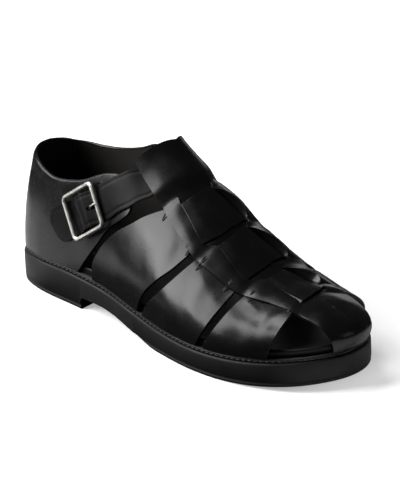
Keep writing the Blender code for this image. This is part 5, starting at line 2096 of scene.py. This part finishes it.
@dataclass
class UnitSole:
    """Moulded rubber unit, the recessed welt on it and the footbed.

    Attributes:
        last: The last.
        stations: Stations on each side of an outline.
        stitch: Spacing of the welt's stitches.
        stitch_share: Length of a stitch, as a share of the spacing.
        stitch_out: How far they stand outside the welt's rim.
        stitch_level: Their height above the sole's top edge.
        stitch_samples: Samples of the line that they follow.
        thread: Radius of the thread.
        sole_rounding: Rounding of the sole's cut edges.
        cutter_columns: Sections of the arch's cutter across the sole.
        welt_edge: How far the middle of the welt's edge stands out, and over what height it does.
        dish: Inset and depth of the footbed's hollow.
    """

    last: Last
    stations: int = 150
    stitch: float = 0.0042
    stitch_share: float = 0.78
    stitch_out: float = 0.0006
    stitch_level: float = 0.0013
    stitch_samples: int = 900
    thread: float = 0.00036
    sole_rounding: float = 0.0003
    cutter_columns: int = 41
    welt_edge: tuple[float, float] = (0.0003, 0.0004)
    dish: tuple[tuple[float, float], ...] = (
        (0.004, 0.0001), (0.008, 0.0004), (0.013, 0.0007), (0.019, 0.0009),
    )

    @staticmethod
    def underside(x: np.ndarray) -> np.ndarray:
        """Height of the tread at x."""
        return TOE_SPRING * np.maximum(follow(UNDERSIDE, np.asarray(x) / LAST_LENGTH), 0)

    def top(self, x: np.ndarray) -> np.ndarray:
        """Height of the sole's top edge at x."""
        return self.last.feather_height(x) - SOLE_EDGE_DROP

    def outsole(self) -> Object:
        """Rubber unit with its ribs, rounded edge, arch and hollow breast.

        Returns:
            The new object.
        """

        def above(rise: float) -> Level:
            """Level at a rise above the tread."""
            return lambda x: self.underside(x) + rise

        def below(drop: float) -> Level:
            """Level at a drop below the top edge."""
            return lambda x: self.top(x) - drop

        levels = [
            (RIM - TREAD_INSET, above(0)),
            (RIM - TREAD_INSET * 0.45, above(SOLE_BEVEL * 0.35)),
            (RIM - SIDE_INSET, above(SOLE_BEVEL)),
            (RIM - SIDE_INSET, above(RIB_LEVEL)),
            (RIM - RIB_DEPTH, above(RIB_LEVEL + RIB_DEPTH * 0.7)),
            (RIM - RIB_DEPTH, above(RIB_LEVEL + RIB_HEIGHT)),
            (RIM, above(RIB_LEVEL + RIB_HEIGHT + RIB_DEPTH)),
            (RIM, below(SOLE_BEVEL * 1.9)),
            (RIM - 0.0001, below(SOLE_BEVEL)),
            (RIM - TOP_INSET * 0.55, below(SOLE_BEVEL * 0.3)),
            (RIM - TOP_INSET * 1.5, below(0)),
        ]
        sole = layer_stack(self.last, "rubber_unit", levels, self.stations, [SOLE_RUBBER])
        cut(sole, self.arch_cutter(), "arch")
        round_edges(sole, self.sole_rounding, angle=50)
        return sole

    def arch_cutter(self) -> Object:
        """Cutter of the arch and of the hollow heel breast, lofted across the sole.

        Returns:
            The new object.
        """
        marks = np.linspace(-ARCH_CUT_HALF_WIDTH, ARCH_CUT_HALF_WIDTH, self.cutter_columns)
        verts = []
        for y in marks:
            hollow = BREAST_HOLLOW * max(0.0, 1 - (y / SEAT_HALF_WIDTH) ** 2)
            for along, rise in ARCH_PROFILE:
                back = hollow * max(0.0, 1 - along / BREAST_SHARE)
                verts.append((HEEL_LENGTH - back + along * ARCH_LENGTH, y, rise * ARCH_RISE))
        size = len(ARCH_PROFILE)
        faces = [tuple(range(size)), tuple(reversed(range(len(verts) - size, len(verts))))]
        faces += ring_quads(len(marks), size)
        return keep("arch_cutter", np.array(verts) + self.last.shift, faces, [SOLE_RUBBER])

    def welt(self) -> Object:
        """Thin layer between sole and upper, set back under the leather's edge.

        Returns:
            The new object.
        """
        feather = self.last.feather_height
        out, height = self.welt_edge
        levels = [
            (WELT_RIM, lambda x: self.top(x) + JOINT_GAP),
            (WELT_RIM + out, lambda x: self.top(x) + JOINT_GAP + height),
            (WELT_RIM + out, lambda x: feather(x) - JOINT_GAP - height),
            (WELT_RIM, lambda x: feather(x) - JOINT_GAP),
        ]
        return layer_stack(self.last, "welt_layer", levels, self.stations, [WELT])

    def welt_stitches(self) -> Object:
        """Lockstitches round the welt, in the groove between sole and upper.

        Returns:
            The new object.
        """
        bundle = Bundle()
        lines = self.last.outline(WELT_RIM + self.stitch_out, self.stitch_samples)
        for side, line in zip(Side, lines):
            run = np.concatenate([[0], np.cumsum(np.linalg.norm(np.diff(line, axis=0), axis=1))])
            marks = np.arange(self.stitch / 2, run[-1] - self.stitch, self.stitch)
            for mark in marks:
                ends = []
                for at in (mark, mark + self.stitch * self.stitch_share):
                    x = float(np.interp(at, run, line[:, 0]))
                    y = float(np.interp(at, run, line[:, 1]))
                    edge = float(self.top(np.array(x - self.last.shift[0])))
                    height = edge + self.stitch_level + self.last.shift[2]
                    ends.append(np.array([x, y, height]))
                along = ends[1] - ends[0]
                out = np.array([along[1], -along[0], 0.0]) * (-side.value)
                bundle.stitch(ends[0], ends[1], out / np.linalg.norm(out), self.thread)
        return bundle.build("welt_stitches", THREAD)

    def insole(self) -> Object:
        """Footbed with a rounded edge and a shallow dish.

        Returns:
            The new object.
        """
        feather = self.last.feather_height
        side_height = INSOLE_THICKNESS - INSOLE_ROUND
        levels: list[tuple[float, Level]] = [(-INSOLE_INSET, feather)]
        for k in range(7):
            angle = math.pi / 2 * k / 6
            grow = -INSOLE_INSET - INSOLE_ROUND * (1 - math.cos(angle))
            rise = side_height + INSOLE_ROUND * math.sin(angle)
            levels.append((grow, lambda x, rise=rise: feather(x) + rise))
        for inset, drop in self.dish:
            levels.append((-inset, lambda x, drop=drop: feather(x) + INSOLE_THICKNESS - drop))
        return layer_stack(self.last, "footbed", levels, self.stations, [SOCK_LEATHER])

    def build(self) -> list[Object]:
        """All pieces of the bottom.

        Returns:
            The new objects.
        """
        sole, welt, stitches, insole = self.outsole(), self.welt(), self.welt_stitches(), self.insole()
        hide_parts("outsole")
        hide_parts("welt")
        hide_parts("insole")
        return [sole, welt, stitches, insole]


@dataclass(frozen=True)
class Softbox:
    """Rectangular area light turned to the shoe.

    Attributes:
        name: Name of the light.
        azimuth: Direction in plan, 0 at the lateral side, in degrees.
        elevation: Height of the direction, in degrees.
        size: Width and height.
        away: Distance.
        radiance: Its radiance.
    """

    name: str
    azimuth: float
    elevation: float
    size: tuple[float, float]
    away: float
    radiance: float

    def build(self) -> None:
        """Adds the light to the scene."""
        direction = towards(self.azimuth, self.elevation)
        data = bpy.data.lights.new(self.name, "AREA")
        data.shape = "RECTANGLE"
        data.size, data.size_y = self.size
        data.energy = self.radiance * math.pi * self.size[0] * self.size[1]
        light = bpy.data.objects.new(self.name, data)
        light.location = direction * self.away + Vector((0, 0, 0.05))
        light.rotation_euler = direction.to_track_quat("Z", "Y").to_euler()
        light.visible_camera = False
        bpy.context.scene.collection.objects.link(light)


def towards(azimuth: float, elevation: float) -> Vector:
    """Unit direction from the shoe.

    Args:
        azimuth: Angle in plan from the lateral side towards the toe, in degrees.
        elevation: Angle above the floor, in degrees.

    Returns:
        The direction.
    """
    az, el = math.radians(azimuth), math.radians(elevation)
    return Vector((math.sin(az) * math.cos(el), -math.cos(az) * math.cos(el), math.sin(el)))


@dataclass
class Studio:
    """Paper floor, four softboxes and the camera at the photograph's angle.

    Attributes:
        azimuth: Camera azimuth from the lateral side towards the toe, in degrees.
        elevation: Camera elevation in degrees.
        roll: Camera roll in degrees.
        distance: Distance from camera to target.
        focal_px: Focal length in pixels of an image 400 wide.
        target: Point that the camera looks at.
        floor_size: Side of the floor.
        air: Strength of the even light from all round.
        lights: The key, the one from above, the one behind the shoe and the one at the toe.
    """

    azimuth: float = 49.04
    elevation: float = 22.91
    roll: float = -2.37
    distance: float = 2.724
    focal_px: float = 4132.0
    target: tuple[float, float, float] = (-0.01521, 0.02193, 0.045)
    floor_size: float = 7.0
    air: float = 0.06
    lights: tuple[Softbox, ...] = (
        Softbox("key_softbox", -43, 32, (2.0, 3.1), 3.0, 8.0),
        Softbox("top_softbox", -72, 68, (1.0, 1.0), 3.2, 9.0),
        Softbox("backdrop", -131, 11, (3.6, 0.9), 3.2, 1.0),
        Softbox("toe_fill", 106, 20, (1.2, 1.0), 3.2, 0.8),
    )

    def floor(self) -> None:
        """Floor that the sole stands on."""
        half = self.floor_size / 2
        verts = np.array([(-half, -half, 0), (half, -half, 0), (half, half, 0), (-half, half, 0)])
        piece = keep("studio_floor", verts, [(0, 1, 2, 3)], [STUDIO_FLOOR], repair=False)

    def camera(self) -> None:
        """Camera with the photograph's angle and framing."""
        azimuth, roll = math.radians(self.azimuth), math.radians(self.roll)
        back = towards(self.azimuth, self.elevation)
        right = Vector((math.cos(azimuth), math.sin(azimuth), 0))
        up = back.cross(right)
        turned_right = right * math.cos(roll) + up * math.sin(roll)
        turned_up = up * math.cos(roll) - right * math.sin(roll)
        place = Vector(self.target) + back * self.distance
        data = bpy.data.cameras.new("camera")
        data.sensor_fit = "HORIZONTAL"
        data.sensor_width = 36.0
        data.lens = self.focal_px / 400 * 36.0
        data.clip_start = 0.1
        camera = bpy.data.objects.new("camera", data)
        columns = (turned_right, turned_up, back, place)
        rows = [[column[i] for column in columns] for i in range(3)]
        camera.matrix_world = Matrix(rows + [[0, 0, 0, 1]])
        bpy.context.scene.collection.objects.link(camera)
        bpy.context.scene.camera = camera

    def build(self) -> None:
        """Floor, lights, world and camera."""
        scene = bpy.context.scene
        scene.view_settings.view_transform = "Standard"
        self.floor()
        for light in self.lights:
            light.build()
        world = bpy.data.worlds.new("studio_air")
        world.use_nodes = True
        background = world.node_tree.nodes["Background"]
        background.inputs["Color"].default_value = (1.0, 1.0, 1.0, 1.0)
        background.inputs["Strength"].default_value = self.air
        scene.world = world
        self.camera()


def main() -> None:
    """Builds the shoe and its studio, and reports each piece."""
    logging.basicConfig(level=logging.INFO, format="%(message)s")
    last = Last()
    pieces: list[Object] = []
    for part in (UnitSole(last), HeelCounter(last), VampWeave(last)):
        pieces += part.build()
    buckle = Buckle(last)
    pieces += AnkleStrap(last).build(buckle.hole_cutter())
    pieces += buckle.build()
    for piece in pieces:
        apply_modifiers(piece)
        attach(piece, "root")
        LOG.info("%s: %d faces", piece.name, len(piece.data.polygons))
    Studio().build()


if __name__ == "__main__":
    main()
